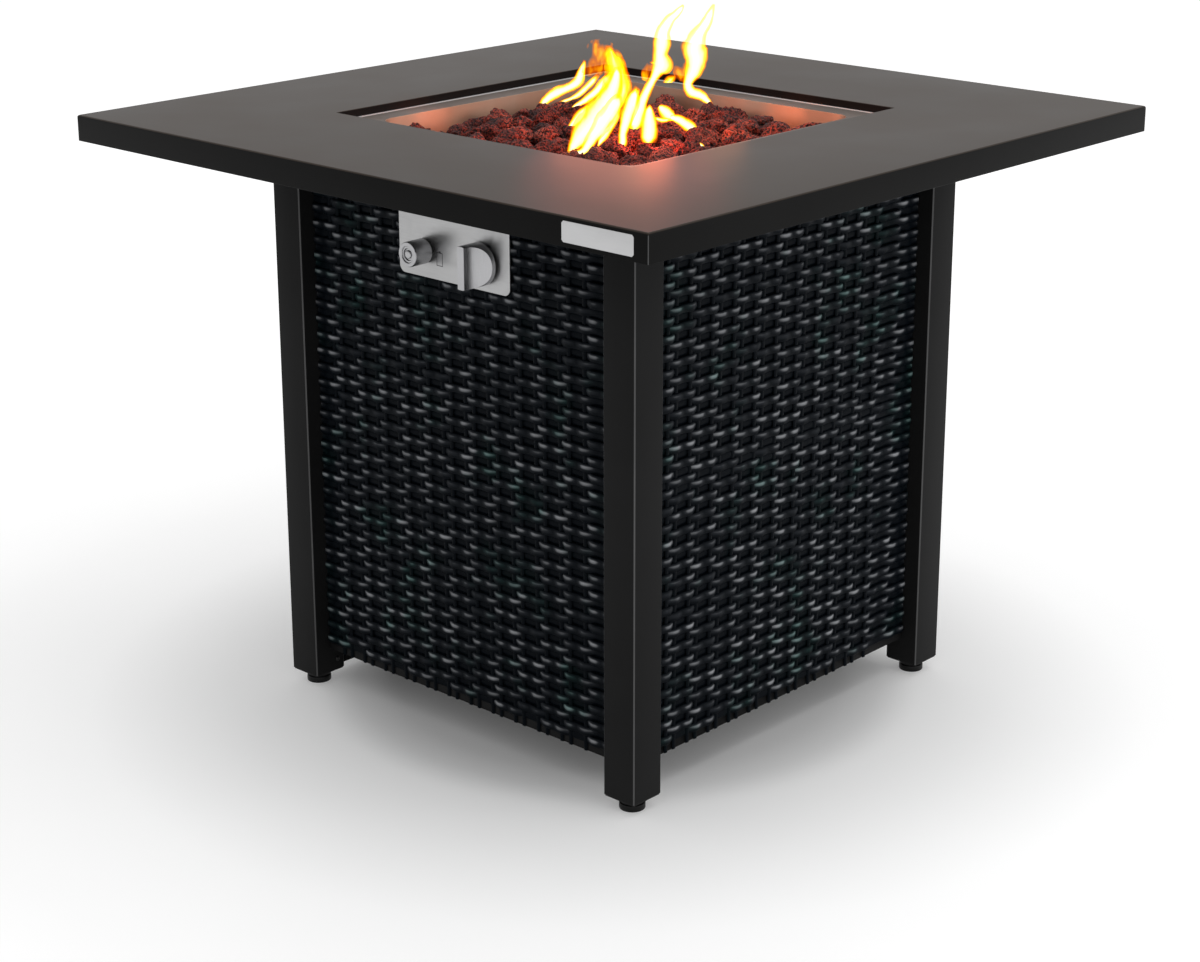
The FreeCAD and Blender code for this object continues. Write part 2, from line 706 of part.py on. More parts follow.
def panel_frame(x, z, mid_rail):
    """A welded frame of square tube: two stiles, two end rails and one middle rail."""
    y = (-FRAME_OUTER, -FRAME_INNER)
    members = []
    for left, right in ((min(x), min(x) + FRAME_TUBE), (max(x) - FRAME_TUBE, max(x))):
        members.append(tube_between((left, right), y, z, FRAME_WALL, "z"))
    span = (min(x) + FRAME_TUBE, max(x) - FRAME_TUBE)
    for bottom in (min(z), mid_rail, max(z) - FRAME_TUBE):
        members.append(tube_between(span, y, (bottom, bottom + FRAME_TUBE), FRAME_WALL, "x"))
    return fused(members)


def panel_weave(x, z):
    """The woven skin over a frame, as one plain sheet."""
    return box(x, (-WEAVE_OUTER, -FRAME_OUTER), z)


def fixed_panel_limits():
    return (-PANEL_HALF, PANEL_HALF), (PANEL_BOTTOM, PANEL_TOP)


def front_frame():
    x, z = fixed_panel_limits()
    return panel_frame(x, z, FRONT_MID_RAIL)


def side_frame(quarter):
    x, z = fixed_panel_limits()
    return on_side(panel_frame(x, z, SIDE_MID_RAIL), quarter)


def front_weave():
    """The front skin, with the window that the control tray passes through."""
    x, z = fixed_panel_limits()
    half = TRAY_WIDTH / 2 + TRAY_CLEARANCE
    low = PLATE_BOTTOM + TRAY_INSET - TRAY_CLEARANCE
    high = PLATE_TOP - TRAY_INSET + TRAY_CLEARANCE
    window = box((-half, half), (-WEAVE_OUTER - 1, -FRAME_OUTER + 1), (low, high))
    return panel_weave(x, z).cut(window)


def side_weave(quarter):
    x, z = fixed_panel_limits()
    return on_side(panel_weave(x, z), quarter)


# Access door

def door_limits():
    """The door's width and height as if it were on the front side."""
    return (-HINGE_Y, LEG_INNER - DOOR_GAP), (DOOR_BOTTOM, PANEL_TOP)


def door_frame():
    x, z = door_limits()
    return on_side(panel_frame(x, z, SIDE_MID_RAIL), 3)


def door_weave():
    x, z = door_limits()
    return on_side(panel_weave(x, z), 3)


def hinge_spans():
    """Each hinge's bottom, the height where its two knuckles meet, and its top."""
    spans = []
    for middle in (DOOR_BOTTOM + HINGE_INSET, PANEL_TOP - HINGE_INSET):
        spans.append((middle - HINGE_HEIGHT / 2, middle, middle + HINGE_HEIGHT / 2))
    return spans


def on_pin(radius, low, high):
    """A round bar on the hinge axis."""
    return upright(HINGE_X, HINGE_Y, radius, low, high)


def hinge_leaf(leaf_y, span, knuckle_z):
    """A plate beside the leg or the door's edge, and a neck out to where its knuckle is."""
    plate = box((-WEAVE_OUTER, -FRAME_INNER), leaf_y, span)
    return [plate, box((HINGE_X, -WEAVE_OUTER), leaf_y, knuckle_z)]


def hinge_leg_leaves():
    """Leaves on the back left leg, each with a square knuckle and the pin that stands on it."""
    half = HINGE_BLOCK_SIDE / 2
    leaf_y = (LEG_INNER - HINGE_LEAF, LEG_INNER)
    leaves = []
    for low, middle, high in hinge_spans():
        top = middle - HINGE_KNUCKLE_GAP / 2
        block = box((HINGE_X - half, HINGE_X + half), (HINGE_Y - half, HINGE_Y + half), (low, top))
        pin = on_pin(HINGE_PIN_RADIUS, low + 1, high)
        leaves.append(fused(hinge_leaf(leaf_y, (low, high), (low, top)) + [block, pin]))
    return Part.makeCompound(leaves)


def hinge_door_leaves():
    """Leaves on the door's edge, each with the round knuckle that drops over its pin."""
    leaf_y = (HINGE_Y, HINGE_Y + HINGE_LEAF)
    leaves = []
    for low, middle, high in hinge_spans():
        foot = middle + HINGE_KNUCKLE_GAP / 2
        knuckle = on_pin(HINGE_KNUCKLE_RADIUS, foot, high)
        leaf = fused(hinge_leaf(leaf_y, (low, high), (foot, high)) + [knuckle])
        leaves.append(leaf.cut(on_pin(HINGE_PIN_RADIUS + RUNNING_CLEARANCE, foot - 1, high + 1)))
    return Part.makeCompound(leaves)


def door_knob():
    """A square pull on the door's middle rail, with its face chamfered all round."""
    y = -(LEG_INNER - DOOR_GAP) + DOOR_KNOB_FROM_EDGE
    z = SIDE_MID_RAIL + FRAME_TUBE / 2
    back = -WEAVE_OUTER - DOOR_KNOB_NECK_LENGTH
    face = back - DOOR_KNOB_HEAD_LENGTH
    neck = DOOR_KNOB_NECK_SIDE / 2
    half = DOOR_KNOB_SIDE / 2
    head = box((face, back), (y - half, y + half), (z - half, z + half))
    rim = [edge for edge in head.Edges if edge.CenterOfMass.x < face + 1]
    head = head.makeChamfer(DOOR_KNOB_CHAMFER, rim)
    return fused([head, box((back, -WEAVE_OUTER), (y - neck, y + neck), (z - neck, z + neck))])


def magnetic_catch():
    """A catch on the front panel's stile, which reaches past the leg to face the door's edge."""
    face = -FRAME_INNER + STRIKE_SHEET + CATCH_GAP
    far_side = -FRAME_INNER + CATCH_WIDTH
    z = (CATCH_MIDDLE - CATCH_HEIGHT / 2, CATCH_MIDDLE + CATCH_HEIGHT / 2)
    body = box((face, face + CATCH_DEPTH), (-FRAME_INNER, far_side), z)
    leg_corner = -LEG_INNER + PANEL_SIDE_GAP
    body = body.cut(box((face - 1, leg_corner), (-FRAME_INNER - 1, leg_corner), z))
    groove_y = (leg_corner + CATCH_POLE, far_side - CATCH_POLE)
    groove_z = (min(z) + CATCH_POLE, max(z) - CATCH_POLE)
    return body.cut(box((face - 1, face + CATCH_GROOVE_DEPTH), groove_y, groove_z))


def catch_strike():
    """The steel plate on the door that the magnet holds."""
    free_edge = -(LEG_INNER - DOOR_GAP)
    reach = CATCH_HEIGHT / 2 + STRIKE_MARGIN
    x = (-FRAME_INNER, -FRAME_INNER + STRIKE_SHEET)
    return box(x, (free_edge, free_edge + FRAME_TUBE), (CATCH_MIDDLE - reach, CATCH_MIDDLE + reach))


# Control plate and its bracket

def control_point(x, y):
    return Vector(x, y, CONTROL_HEIGHT)


def on_control_axis(x, radius, front, back):
    """A round bar on the axis of the knob or of the igniter."""
    return rod(radius, control_point(x, front), control_point(x, back))


def square_on_control_axis(x, side, front, back):
    """A square bar on the axis of the knob or of the igniter."""
    half = side / 2
    return box((x - half, x + half), (front, back), (CONTROL_HEIGHT - half, CONTROL_HEIGHT + half))


def control_plate():
    """A pressed plate: a visible face, two returns through the weave and two tabs."""
    half = PLATE_WIDTH / 2
    face = box((-half, half), (PLATE_FACE, PLATE_BACK), (PLATE_BOTTOM, PLATE_TOP))
    face = rounded(face, PLATE_CORNER, lambda edge: runs_along(edge, Vector(0, 1, 0)))
    tray = TRAY_WIDTH / 2
    z = (PLATE_BOTTOM + TRAY_INSET, PLATE_TOP - TRAY_INSET)
    parts = [face]
    for side in (-1, 1):
        wall = (side * tray, side * (tray - PLATE_SHEET))
        parts.append(box(wall, (PLATE_BACK, -FRAME_INNER), z))
        tab = (side * tray, side * (tray - TRAY_TAB))
        parts.append(box(tab, (-FRAME_INNER - PLATE_SHEET, -FRAME_INNER), z))
    thread_radius = IGNITER_THREAD_RADIUS + HOLE_CLEARANCE
    thread_hole = on_control_axis(IGNITER_X, thread_radius, KNOB_BACK, BRACKET_BACK)
    stem_hole = on_control_axis(KNOB_X, STEM_HOLE_RADIUS, KNOB_BACK, BRACKET_BACK)
    return fused(parts).cut(thread_hole).cut(stem_hole)


def control_bracket():
    """A folded plate across the front frame that carries the valve and the tray."""
    x = (-PLATE_WIDTH / 2, PLATE_WIDTH / 2)
    fold_y = (-FRAME_INNER, BRACKET_BACK + BRACKET_FOLD)
    bracket = fused([
        box(x, (-FRAME_INNER, BRACKET_BACK), (FRONT_MID_RAIL, PANEL_TOP)),
        box(x, fold_y, (FRONT_MID_RAIL, FRONT_MID_RAIL + BRACKET_SHEET)),
        box(x, fold_y, (PANEL_TOP - BRACKET_SHEET, PANEL_TOP)),
    ])
    neck = on_control_axis(KNOB_X, VALVE_NECK_RADIUS + HOLE_CLEARANCE, PLATE_FACE, VALVE_BACK)
    housing_hole = IGNITER_BODY_SIDE + 2 * HOLE_CLEARANCE
    housing = square_on_control_axis(IGNITER_X, housing_hole, PLATE_FACE, VALVE_BACK)
    return bracket.cut(neck).cut(housing)


# Gas valve and knob

def valve_body():
    """A bored block with a neck for the bracket, an arm to the pipe and the hose's fitting below."""
    block = square_on_control_axis(KNOB_X, VALVE_BLOCK_SIDE, BRACKET_BACK, VALVE_BACK)
    corners = [edge for edge in block.Edges if runs_along(edge, Vector(0, 1, 0))]
    neck_front = -FRAME_INNER - VALVE_NECK_LENGTH
    middle = control_point(KNOB_X, VALVE_MIDDLE)
    down = Vector(0, 0, -1)
    hose_hexagon = middle + down * VALVE_ARM_REACH
    hose_spigot = hose_hexagon + down * INLET_HEX_LENGTH
    body = fused([
        block.makeChamfer(VALVE_CHAMFER, corners),
        on_control_axis(KNOB_X, VALVE_NECK_RADIUS, neck_front, BRACKET_BACK),
        hexagon(VALVE_ARM_FLATS, VALVE_ARM_REACH, middle, Vector(1, 0, 0)),
        hexagon(VALVE_ARM_FLATS, VALVE_ARM_REACH, middle, down),
        hexagon(INLET_HEX_FLATS, INLET_HEX_LENGTH, hose_hexagon, down),
        rod(INLET_RADIUS, hose_spigot, hose_spigot + down * INLET_LENGTH),
    ])
    return body.cut(on_control_axis(KNOB_X, STEM_RADIUS + RUNNING_CLEARANCE, neck_front - 1, VALVE_BACK + 1))


def valve_cap():
    """The screwed cap that closes the back of the valve's bore."""
    return hexagon(VALVE_CAP_FLATS, VALVE_CAP_LENGTH, control_point(KNOB_X, VALVE_BACK), Vector(0, 1, 0))


def valve_nut():
    """The nut that draws the valve against the bracket from the front."""
    place = control_point(KNOB_X, -FRAME_INNER)
    nut = hexagon(VALVE_NUT_FLATS, VALVE_NUT_LENGTH, place, Vector(0, -1, 0))
    bore_radius = VALVE_NECK_RADIUS + THREAD_CLEARANCE
    return nut.cut(on_control_axis(KNOB_X, bore_radius, PLATE_FACE, BRACKET_BACK))


def valve_push_pin():
    """The plunger that the stem drives back to lift the flame-failure valve."""
    return on_control_axis(KNOB_X, STEM_RADIUS, STEM_END, VALVE_BACK - KNOB_PUSH - KNOB_PUSH_SPARE)


def valve_stem():
    """The stem, with a flat where the knob grips it."""
    front = KNOB_BACK - KNOB_SOCKET_DEPTH
    stem = on_control_axis(KNOB_X, STEM_RADIUS, front, STEM_END)
    return stem.cut(stem_flat(front - 1, KNOB_BACK + 2, 0))


def stem_flat(front, back, clearance):
    """The space beside the stem's flat."""
    x = (KNOB_X - 2 * STEM_RADIUS, KNOB_X + 2 * STEM_RADIUS)
    z = (CONTROL_HEIGHT + STEM_FLAT + clearance, CONTROL_HEIGHT + 2 * STEM_RADIUS)
    return box(x, (front, back), z)


def control_knob():
    """A round knob cut away at both sides to leave an upright grip that flares into its disc."""
    scoop = KNOB_BACK - KNOB_DISC - KNOB_FACE
    body = on_control_axis(KNOB_X, KNOB_RADIUS, KNOB_FACE, KNOB_BACK)
    reach = Vector(0, 0, KNOB_RADIUS + 1)
    for side in (-1, 1):
        middle = control_point(KNOB_X + side * (KNOB_GRIP_WIDTH / 2 + scoop), KNOB_FACE)
        body = body.cut(rod(scoop, middle - reach, middle + reach))
    socket_end = KNOB_BACK - KNOB_SOCKET_DEPTH
    socket = on_control_axis(KNOB_X, STEM_RADIUS + RUNNING_CLEARANCE, socket_end, KNOB_BACK + 1)
    return body.cut(socket.cut(stem_flat(KNOB_FACE, KNOB_BACK + 2, RUNNING_CLEARANCE)))


# Igniter

def igniter_body():
    """The housing: a threaded neck through the plate and a box behind it, bored for the battery."""
    front = PLATE_FACE - IGNITER_THREAD_STANDOUT
    back = PLATE_BACK + IGNITER_BODY_LENGTH
    terminal_x = (IGNITER_X - TERMINAL_WIDTH / 2, IGNITER_X + TERMINAL_WIDTH / 2)
    terminal_z = (CONTROL_HEIGHT - TERMINAL_SHEET / 2, CONTROL_HEIGHT + TERMINAL_SHEET / 2)
    body = fused([
        on_control_axis(IGNITER_X, IGNITER_THREAD_RADIUS, front, PLATE_BACK),
        square_on_control_axis(IGNITER_X, IGNITER_BODY_SIDE, PLATE_BACK, back),
        box(terminal_x, (back, back + TERMINAL_LENGTH), terminal_z),
    ])
    return body.cut(on_control_axis(IGNITER_X, IGNITER_BORE_RADIUS, front - 1, back - IGNITER_BACK_WALL))


def igniter_nut():
    """The nut that clamps the igniter to the control plate, hidden behind its cap."""
    place = control_point(IGNITER_X, PLATE_FACE)
    nut = hexagon(IGNITER_NUT_FLATS, IGNITER_NUT_LENGTH, place, Vector(0, -1, 0))
    bore_radius = IGNITER_THREAD_RADIUS + THREAD_CLEARANCE
    return nut.cut(on_control_axis(IGNITER_X, bore_radius, CAP_BACK, PLATE_BACK))


def igniter_cap():
    """The round screw cap over the battery, bored for the push button."""
    inside = CAP_FACE + CAP_FACE_WALL
    cap = on_control_axis(IGNITER_X, CAP_RADIUS, CAP_FACE, CAP_BACK)
    cap = cap.cut(on_control_axis(IGNITER_X, IGNITER_THREAD_RADIUS + RUNNING_CLEARANCE, inside, PLATE_FACE))
    return cap.cut(on_control_axis(IGNITER_X, BUTTON_RADIUS + RUNNING_CLEARANCE, CAP_FACE - 1, PLATE_FACE))


def igniter_button():
    """The round push button, kept in the cap by the square flange at its back."""
    flange = CAP_FACE + CAP_FACE_WALL + BUTTON_FLANGE_GAP
    return fused([
        on_control_axis(IGNITER_X, BUTTON_RADIUS, CAP_FACE + BUTTON_RECESS, flange),
        square_on_control_axis(IGNITER_X, BUTTON_FLANGE_SIDE, flange, flange + BUTTON_FLANGE_LENGTH),
    ])


def igniter_battery():
    """One round cell, which reaches to the back of its bore."""
    end = PLATE_BACK + IGNITER_BODY_LENGTH - IGNITER_BACK_WALL
    return on_control_axis(IGNITER_X, BATTERY_RADIUS, end - BATTERY_LENGTH, end)


# Heat shield

def heat_shield():
    """A folded sheet hung from the front rail, between the pan and the controls."""
    half = SHIELD_WIDTH / 2
    face = -(PAN_MOUTH_SIDE / 2 + PAN_SHEET + SHIELD_PAN_GAP)
    top = RAIL_BOTTOM + SHIELD_LIP
    rail = -RAIL_INNER
    return fused([
        box((-half, half), (face - SHIELD_SHEET, face), (SHIELD_BOTTOM, RAIL_BOTTOM)),
        box((-half, half), (rail, face), (RAIL_BOTTOM - SHIELD_SHEET, RAIL_BOTTOM)),
        box((-half, half), (rail, rail + SHIELD_SHEET), (RAIL_BOTTOM - SHIELD_SHEET, top)),
    ])


def build():
    """Every sub-part by its node name."""
    parts = {
        "table_top": table_top(),
        "top_clips": top_clips(),
        "badge_plate": badge_plate(),
        "burner_pan": burner_pan(),
        "burner": burner(),
        "burner_locknut": burner_locknut(),
        "gas_jet": gas_jet(),
        "gas_pipe": gas_pipe(),
        "probe_plate": probe_plate(),
        "spark_insulator": spark_insulator(),
        "spark_wire": spark_wire(),
        "flame_sensor": flame_sensor(),
        "lava_rocks": lava_rocks(),
        "feet": feet(),
        "door_sill": door_sill(),
        "front_frame": front_frame(),
        "front_weave": front_weave(),
        "right_frame": side_frame(1),
        "right_weave": side_weave(1),
        "back_frame": side_frame(2),
        "back_weave": side_weave(2),
        "door_frame": door_frame(),
        "door_weave": door_weave(),
        "door_knob": door_knob(),
        "hinge_leg_leaves": hinge_leg_leaves(),
        "hinge_door_leaves": hinge_door_leaves(),
        "magnetic_catch": magnetic_catch(),
        "catch_strike": catch_strike(),
        "control_plate": control_plate(),
        "control_bracket": control_bracket(),
        "valve_body": valve_body(),
        "valve_cap": valve_cap(),
        "valve_nut": valve_nut(),
        "valve_push_pin": valve_push_pin(),
        "valve_stem": valve_stem(),
        "control_knob": control_knob(),
        "igniter_body": igniter_body(),
        "igniter_nut": igniter_nut(),
        "igniter_cap": igniter_cap(),
        "igniter_button": igniter_button(),
        "igniter_battery": igniter_battery(),
        "heat_shield": heat_shield(),
    }
    for name, corner in CORNERS.items():
        parts["leg_" + name] = leg(corner)
    for quarter, name in enumerate(("front", "right", "back", "left")):
        parts["upper_rail_" + name] = upper_rail(quarter)
    return parts


def main():
    os.makedirs("parts", exist_ok=True)
    for name, shape in build().items():
        shape.exportStep(os.path.join("parts", name + ".step"))
        print(name, len(shape.Solids), "solids, volume", round(shape.Volume), "valid", shape.isValid())


main()
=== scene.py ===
import json
import math
import random

import bmesh
import bpy
import numpy as np
from mathutils import Matrix, Vector, noise

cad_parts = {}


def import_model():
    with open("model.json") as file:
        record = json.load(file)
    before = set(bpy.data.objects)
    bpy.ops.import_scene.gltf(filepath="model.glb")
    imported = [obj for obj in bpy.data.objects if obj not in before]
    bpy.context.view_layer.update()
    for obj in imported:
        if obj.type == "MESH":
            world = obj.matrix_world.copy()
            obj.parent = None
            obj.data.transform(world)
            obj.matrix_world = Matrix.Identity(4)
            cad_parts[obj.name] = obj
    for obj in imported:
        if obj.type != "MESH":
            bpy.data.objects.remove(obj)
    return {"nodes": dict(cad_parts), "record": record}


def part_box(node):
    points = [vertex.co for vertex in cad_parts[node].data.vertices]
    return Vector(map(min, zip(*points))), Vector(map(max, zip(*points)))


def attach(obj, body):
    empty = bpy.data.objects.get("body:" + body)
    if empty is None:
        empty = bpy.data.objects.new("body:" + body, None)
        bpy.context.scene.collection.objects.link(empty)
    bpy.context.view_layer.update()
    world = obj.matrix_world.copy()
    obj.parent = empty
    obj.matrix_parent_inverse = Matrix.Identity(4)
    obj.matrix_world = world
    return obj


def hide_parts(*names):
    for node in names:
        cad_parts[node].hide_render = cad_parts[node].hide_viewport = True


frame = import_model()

# Looks of the square gas fire pit table. Sizes and shape points are millimetres, and the places of
# camera, lamps and flames are metres.

MM = 0.001
NODES = frame["nodes"]
BODIES = frame["record"]["behaviour"]["bodies"]
BODY_OF = {node: body for body, nodes in BODIES.items() for node in nodes}
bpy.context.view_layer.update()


# Materials

def add(material, kind, inputs=None, **attributes):
    """A new shader node, with its inputs set or linked."""
    tree = material.node_tree
    node = tree.nodes.new("ShaderNode" + kind)
    for name, value in attributes.items():
        setattr(node, name, value)
    for name, value in (inputs or {}).items():
        if isinstance(value, bpy.types.NodeSocket):
            tree.links.new(value, node.inputs[name])
        else:
            node.inputs[name].default_value = value
    return node


def shader_of(material):
    return material.node_tree.nodes["Principled BSDF"]


def feed(material, name, socket):
    material.node_tree.links.new(socket, shader_of(material).inputs[name])


def scaled(color, share):
    return tuple(share * channel for channel in color)


def surface(name, color, roughness, metallic=0.0, specular=0.5):
    """A material with one Principled shader."""
    made = bpy.data.materials.new(name)
    made.use_nodes = True
    inputs = shader_of(made).inputs
    inputs["Base Color"].default_value = (*color, 1)
    inputs["Roughness"].default_value = roughness
    inputs["Metallic"].default_value = metallic
    inputs["Specular IOR Level"].default_value = specular
    return made


def grain(material, scale, stretch=(1, 1, 1), detail=3.0):
    """Noise fixed to the piece, with its scale in features to a metre."""
    place = add(material, "TexCoord").outputs["Object"]
    mapped = add(material, "Mapping", {"Vector": place, "Scale": stretch}).outputs["Vector"]
    return add(material, "TexNoise", {"Vector": mapped, "Scale": scale, "Detail": detail}).outputs["Fac"]


def cells(material, scale):
    """How far a point is from the middle of its cell, with cells fixed to the piece."""
    place = add(material, "TexCoord").outputs["Object"]
    return add(material, "TexVoronoi", {"Vector": place, "Scale": scale}).outputs["Distance"]


def ranged(material, value, low, high, start=0.3, end=0.7):
    """A value from start to end, mapped to low to high and held there beyond."""
    inputs = {"Value": value, "From Min": start, "From Max": end, "To Min": low, "To Max": high}
    return add(material, "MapRange", inputs).outputs["Result"]


def ramp(material, value, stops):
    """A colour looked up by a value, between stops of (position, colour)."""
    made = add(material, "ValToRGB", {"Fac": value})
    elements = made.color_ramp.elements
    for index, (position, color) in enumerate(stops):
        element = elements[index] if index < 2 else elements.new(position)
        element.position = position
        element.color = (*color, 1)
    return made.outputs["Color"]


def shade(material, value, stops):
    """Colours the surface by a value, between stops of (position, colour)."""
    feed(material, "Base Color", ramp(material, value, stops))


def relief(material, height, depth_mm, strength=1.0, before=None):
    """Bumps of a depth, on top of earlier ones."""
    inputs = {"Height": height, "Distance": depth_mm * MM, "Strength": strength}
    if before is not None:
        inputs["Normal"] = before
    made = add(material, "Bump", inputs).outputs["Normal"]
    feed(material, "Normal", made)
    return made


def powder_coat(name, color, roughness, specular):
    """Baked paint with a fine orange peel, slightly uneven in gloss."""
    made = surface(name, color, roughness, specular=specular)
    cloud = grain(made, 9, detail=3.0)
    shade(made, cloud, [(0.3, scaled(color, 0.85)), (0.7, scaled(color, 1.15))])
    feed(made, "Roughness", ranged(made, cloud, roughness - 0.02, roughness + 0.02))
    relief(made, grain(made, 900, detail=1.0), 0.02, 0.4)
    return made


def brushed(name, color, roughness, along, tint=None):
    """Metal with fine scratches along one axis."""
    made = surface(name, color, roughness, metallic=1.0)
    stretch = [1.0, 1.0, 1.0]
    stretch["xyz".index(along)] = 0.02
    lines = grain(made, 2600, stretch, detail=2.0)
    stain = grain(made, 9, detail=4.0)
    shade(made, stain, [(0.35, color), (0.72, tint or scaled(color, 0.85))])
    feed(made, "Roughness", ranged(made, lines, roughness - 0.08, roughness + 0.1))
    relief(made, lines, 0.02, 0.4)
    return made


def satin(name, color, tint, roughness, metallic, specular=0.5):
    """Smooth sheet metal with a dull film, stained by heat in soft clouds."""
    made = surface(name, color, roughness, metallic, specular)
    cloud = grain(made, 11, detail=4.0)
    shade(made, cloud, [(0.35, color), (0.7, tint)])
    feed(made, "Roughness", ranged(made, cloud, roughness - 0.06, roughness + 0.08))
    relief(made, grain(made, 260, detail=2.0), 0.02, 0.15)
    return made


def moulded(name, color, roughness, grain_scale=1600, specular=0.5):
    """Plastic or rubber with a fine spark-eroded grain."""
    made = surface(name, color, roughness, specular=specular)
    stipple = grain(made, grain_scale, detail=1.0)
    feed(made, "Roughness", ranged(made, grain(made, 40), roughness - 0.06, roughness + 0.06))
    shade(made, grain(made, 25), [(0.3, color), (0.7, scaled(color, 1.35))])
    relief(made, stipple, 0.03, 0.5)
    return made


def galvanised():
    """Zinc-coated sheet with its crystals."""
    made = surface("galvanised_steel", (0.5, 0.51, 0.52), 0.42, metallic=1.0)
    spangle = cells(made, 160)
    shade(made, spangle, [(0.1, (0.42, 0.43, 0.44)), (0.8, (0.6, 0.61, 0.62))])
    feed(made, "Roughness", ranged(made, spangle, 0.34, 0.52, 0.0, 0.8))
    relief(made, grain(made, 500), 0.02, 0.3)
    return made


def times(material, one, other):
    return add(material, "Math", {0: one, 1: other}, operation="MULTIPLY").outputs[0]


def mixed(material, share, one, other):
    """One colour where the share is 0 and the other where it is 1."""
    inputs = {"Factor": share, 6: one, 7: other}
    return add(material, "Mix", inputs, data_type="RGBA").outputs[2]


def lava():
    """Red-brown pumice with paler patches, and painted shade that turns its pits and hollows near black.
    """
    made = surface("lava_rock", (0.12, 0.035, 0.022), 0.85, specular=0.3)
    patches = grain(made, 30, detail=5.0)
    stone = ramp(made, patches, [
        (0.34, (0.065, 0.02, 0.017)), (0.5, (0.23, 0.034, 0.021)), (0.66, (0.45, 0.095, 0.06)),
    ])
    pits = cells(made, 330)
    crackle = grain(made, 380, detail=5.0)
    # Painted shade: the colour goes near black in the pits and the low parts of the crackle, where the
    # bumps sink.
    hollow_shade = times(
        made, ranged(made, pits, 0.0, 1.0, 0.2, 0.5), ranged(made, crackle, 0.0, 1.3, 0.4, 0.58),
    )
    feed(made, "Base Color", mixed(made, hollow_shade, (0.008, 0.005, 0.006, 1), stone))
    pores = relief(made, pits, 2.4, 1.0)
    relief(made, crackle, 2.0, 1.0, pores)
    return made


def resin():
    """Woven strips of near-black resin, with a painted highlight where they stand out, and a teal cast
    in places.
    """
    made = surface("woven_resin", (0.004, 0.006, 0.01), 0.4, specular=0.03)
    # Painted highlight: the colour rises to pale grey or teal on the upper fronts of the strips where
    # they stand out.
    crest_highlight = add(made, "Attribute", attribute_name="crest_highlight").outputs["Fac"]
    shown = times(made, crest_highlight, ranged(made, grain(made, 34, detail=2.0), 0.4, 1.15, 0.35, 0.62))
    black = ramp(made, shown, [
        (0.0, (0.0026, 0.004, 0.006)), (0.3, (0.024, 0.027, 0.032)), (1.0, (0.38, 0.39, 0.41)),
    ])
    teal = ramp(made, shown, [
        (0.0, (0.0016, 0.0045, 0.0055)), (0.3, (0.014, 0.03, 0.03)), (1.0, (0.24, 0.36, 0.35)),
    ])
    cast = ranged(made, grain(made, 19, detail=2.0), 0.0, 1.0, 0.54, 0.68)
    feed(made, "Base Color", mixed(made, cast, black, teal))
    feed(made, "Roughness", ranged(made, grain(made, 300), 0.34, 0.5))
    relief(made, grain(made, 900, (0.05, 0.05, 1.0), 2.0), 0.12, 0.5)
    return made


def ceramic():
    made = surface("white_ceramic", (0.8, 0.78, 0.72), 0.22)
    shade(made, grain(made, 120), [(0.3, (0.82, 0.8, 0.74)), (0.7, (0.7, 0.66, 0.58))])
    relief(made, grain(made, 700), 0.03, 0.3)
    return made


def printed(name, color):
    """Thin printed paint."""
    made = surface(name, color, 0.5)
    shade(made, grain(made, 500), [(0.3, color), (0.7, scaled(color, 1.3))])
    return made


def looks():
    """Every material by the record's slot."""
    return {
        "top_paint": powder_coat("top_paint", (0.0285, 0.0207, 0.0155), 0.4, 0.07),
        "frame_paint": powder_coat("frame_paint", (0.014, 0.014, 0.0142), 0.45, 0.05),
        "pan_steel": satin("pan_steel", (0.4, 0.31, 0.24), (0.33, 0.21, 0.14), 0.42, 0.6),
        "burner_steel": brushed("burner_steel", (0.34, 0.3, 0.28), 0.42, "y", (0.2, 0.14, 0.12)),
        "zinc_steel": galvanised(),
        "plate_steel": brushed("plate_steel", (0.42, 0.42, 0.422), 0.38, "x"),
        "brass": brushed("machined_brass", (0.62, 0.44, 0.18), 0.3, "z", (0.5, 0.34, 0.13)),
        "pipe_aluminium": brushed("drawn_aluminium", (0.68, 0.68, 0.69), 0.32, "z"),
        "probe_steel": brushed("heated_wire", (0.25, 0.22, 0.21), 0.4, "z", (0.16, 0.1, 0.08)),
        "insulator_ceramic": ceramic(),
        "lava_stone": lava(),
        "woven_resin": resin(),
        "knob_metal": brushed("satin_silver", (0.42, 0.42, 0.43), 0.34, "z"),
        "black_plastic": moulded("black_plastic", (0.012, 0.012, 0.012), 0.45),
        "battery_jacket": brushed("battery_jacket", (0.2, 0.22, 0.25), 0.35, "y"),
        "badge_metal": brushed("badge_metal", (0.5, 0.5, 0.505), 0.36, "x"),
        "foot_rubber": moulded("foot_rubber", (0.003, 0.003, 0.003), 0.42, 1100, 0.2),
        "hinge_steel": powder_coat("hinge_paint", (0.01, 0.01, 0.01), 0.38, 0.4),
    }


LOOKS = looks()
SLOT_OF = {row["node"]: row["material_slot"] for row in frame["record"]["subparts"]}


def dress(piece, slot):
    """Gives a piece the material of its slot."""
    piece.data.materials.clear()
    piece.data.materials.append(LOOKS[slot])
    for polygon in piece.data.polygons:
        polygon.material_index = 0
    return piece


def dress_nodes():
    for node, piece in NODES.items():
        dress(piece, SLOT_OF[node])


# Building meshes

# A CAD mesh is rounded after points this close are joined and faces that are this flat are merged,
# at the edges that are sharper than this.
WELD_DISTANCE = 0.002
FLAT_DEGREES = 0.4
SHARP_DEGREES = 28
# Shading is smooth over edges up to these angles.
CREASE_DEGREES = 40
EASED_CREASE_DEGREES = 35
STRIP_CREASE_DEGREES = 60
# A face that looks out of a corner has at least this much of its normal along X and along Y.
CORNER_SHARE = 0.25
TURNED_SEGMENTS = 96
MEET_DISTANCE = 0.001
LEAST_EDGE = 0.0005


def link(name, mesh, smooth=True):
    """Puts a mesh given in millimetres into the scene."""
    mesh.transform(Matrix.Scale(MM, 4))
    mesh.update()
    if smooth:
        mesh.shade_smooth()
    made = bpy.data.objects.new(name, mesh)
    bpy.context.scene.collection.objects.link(made)
    return made


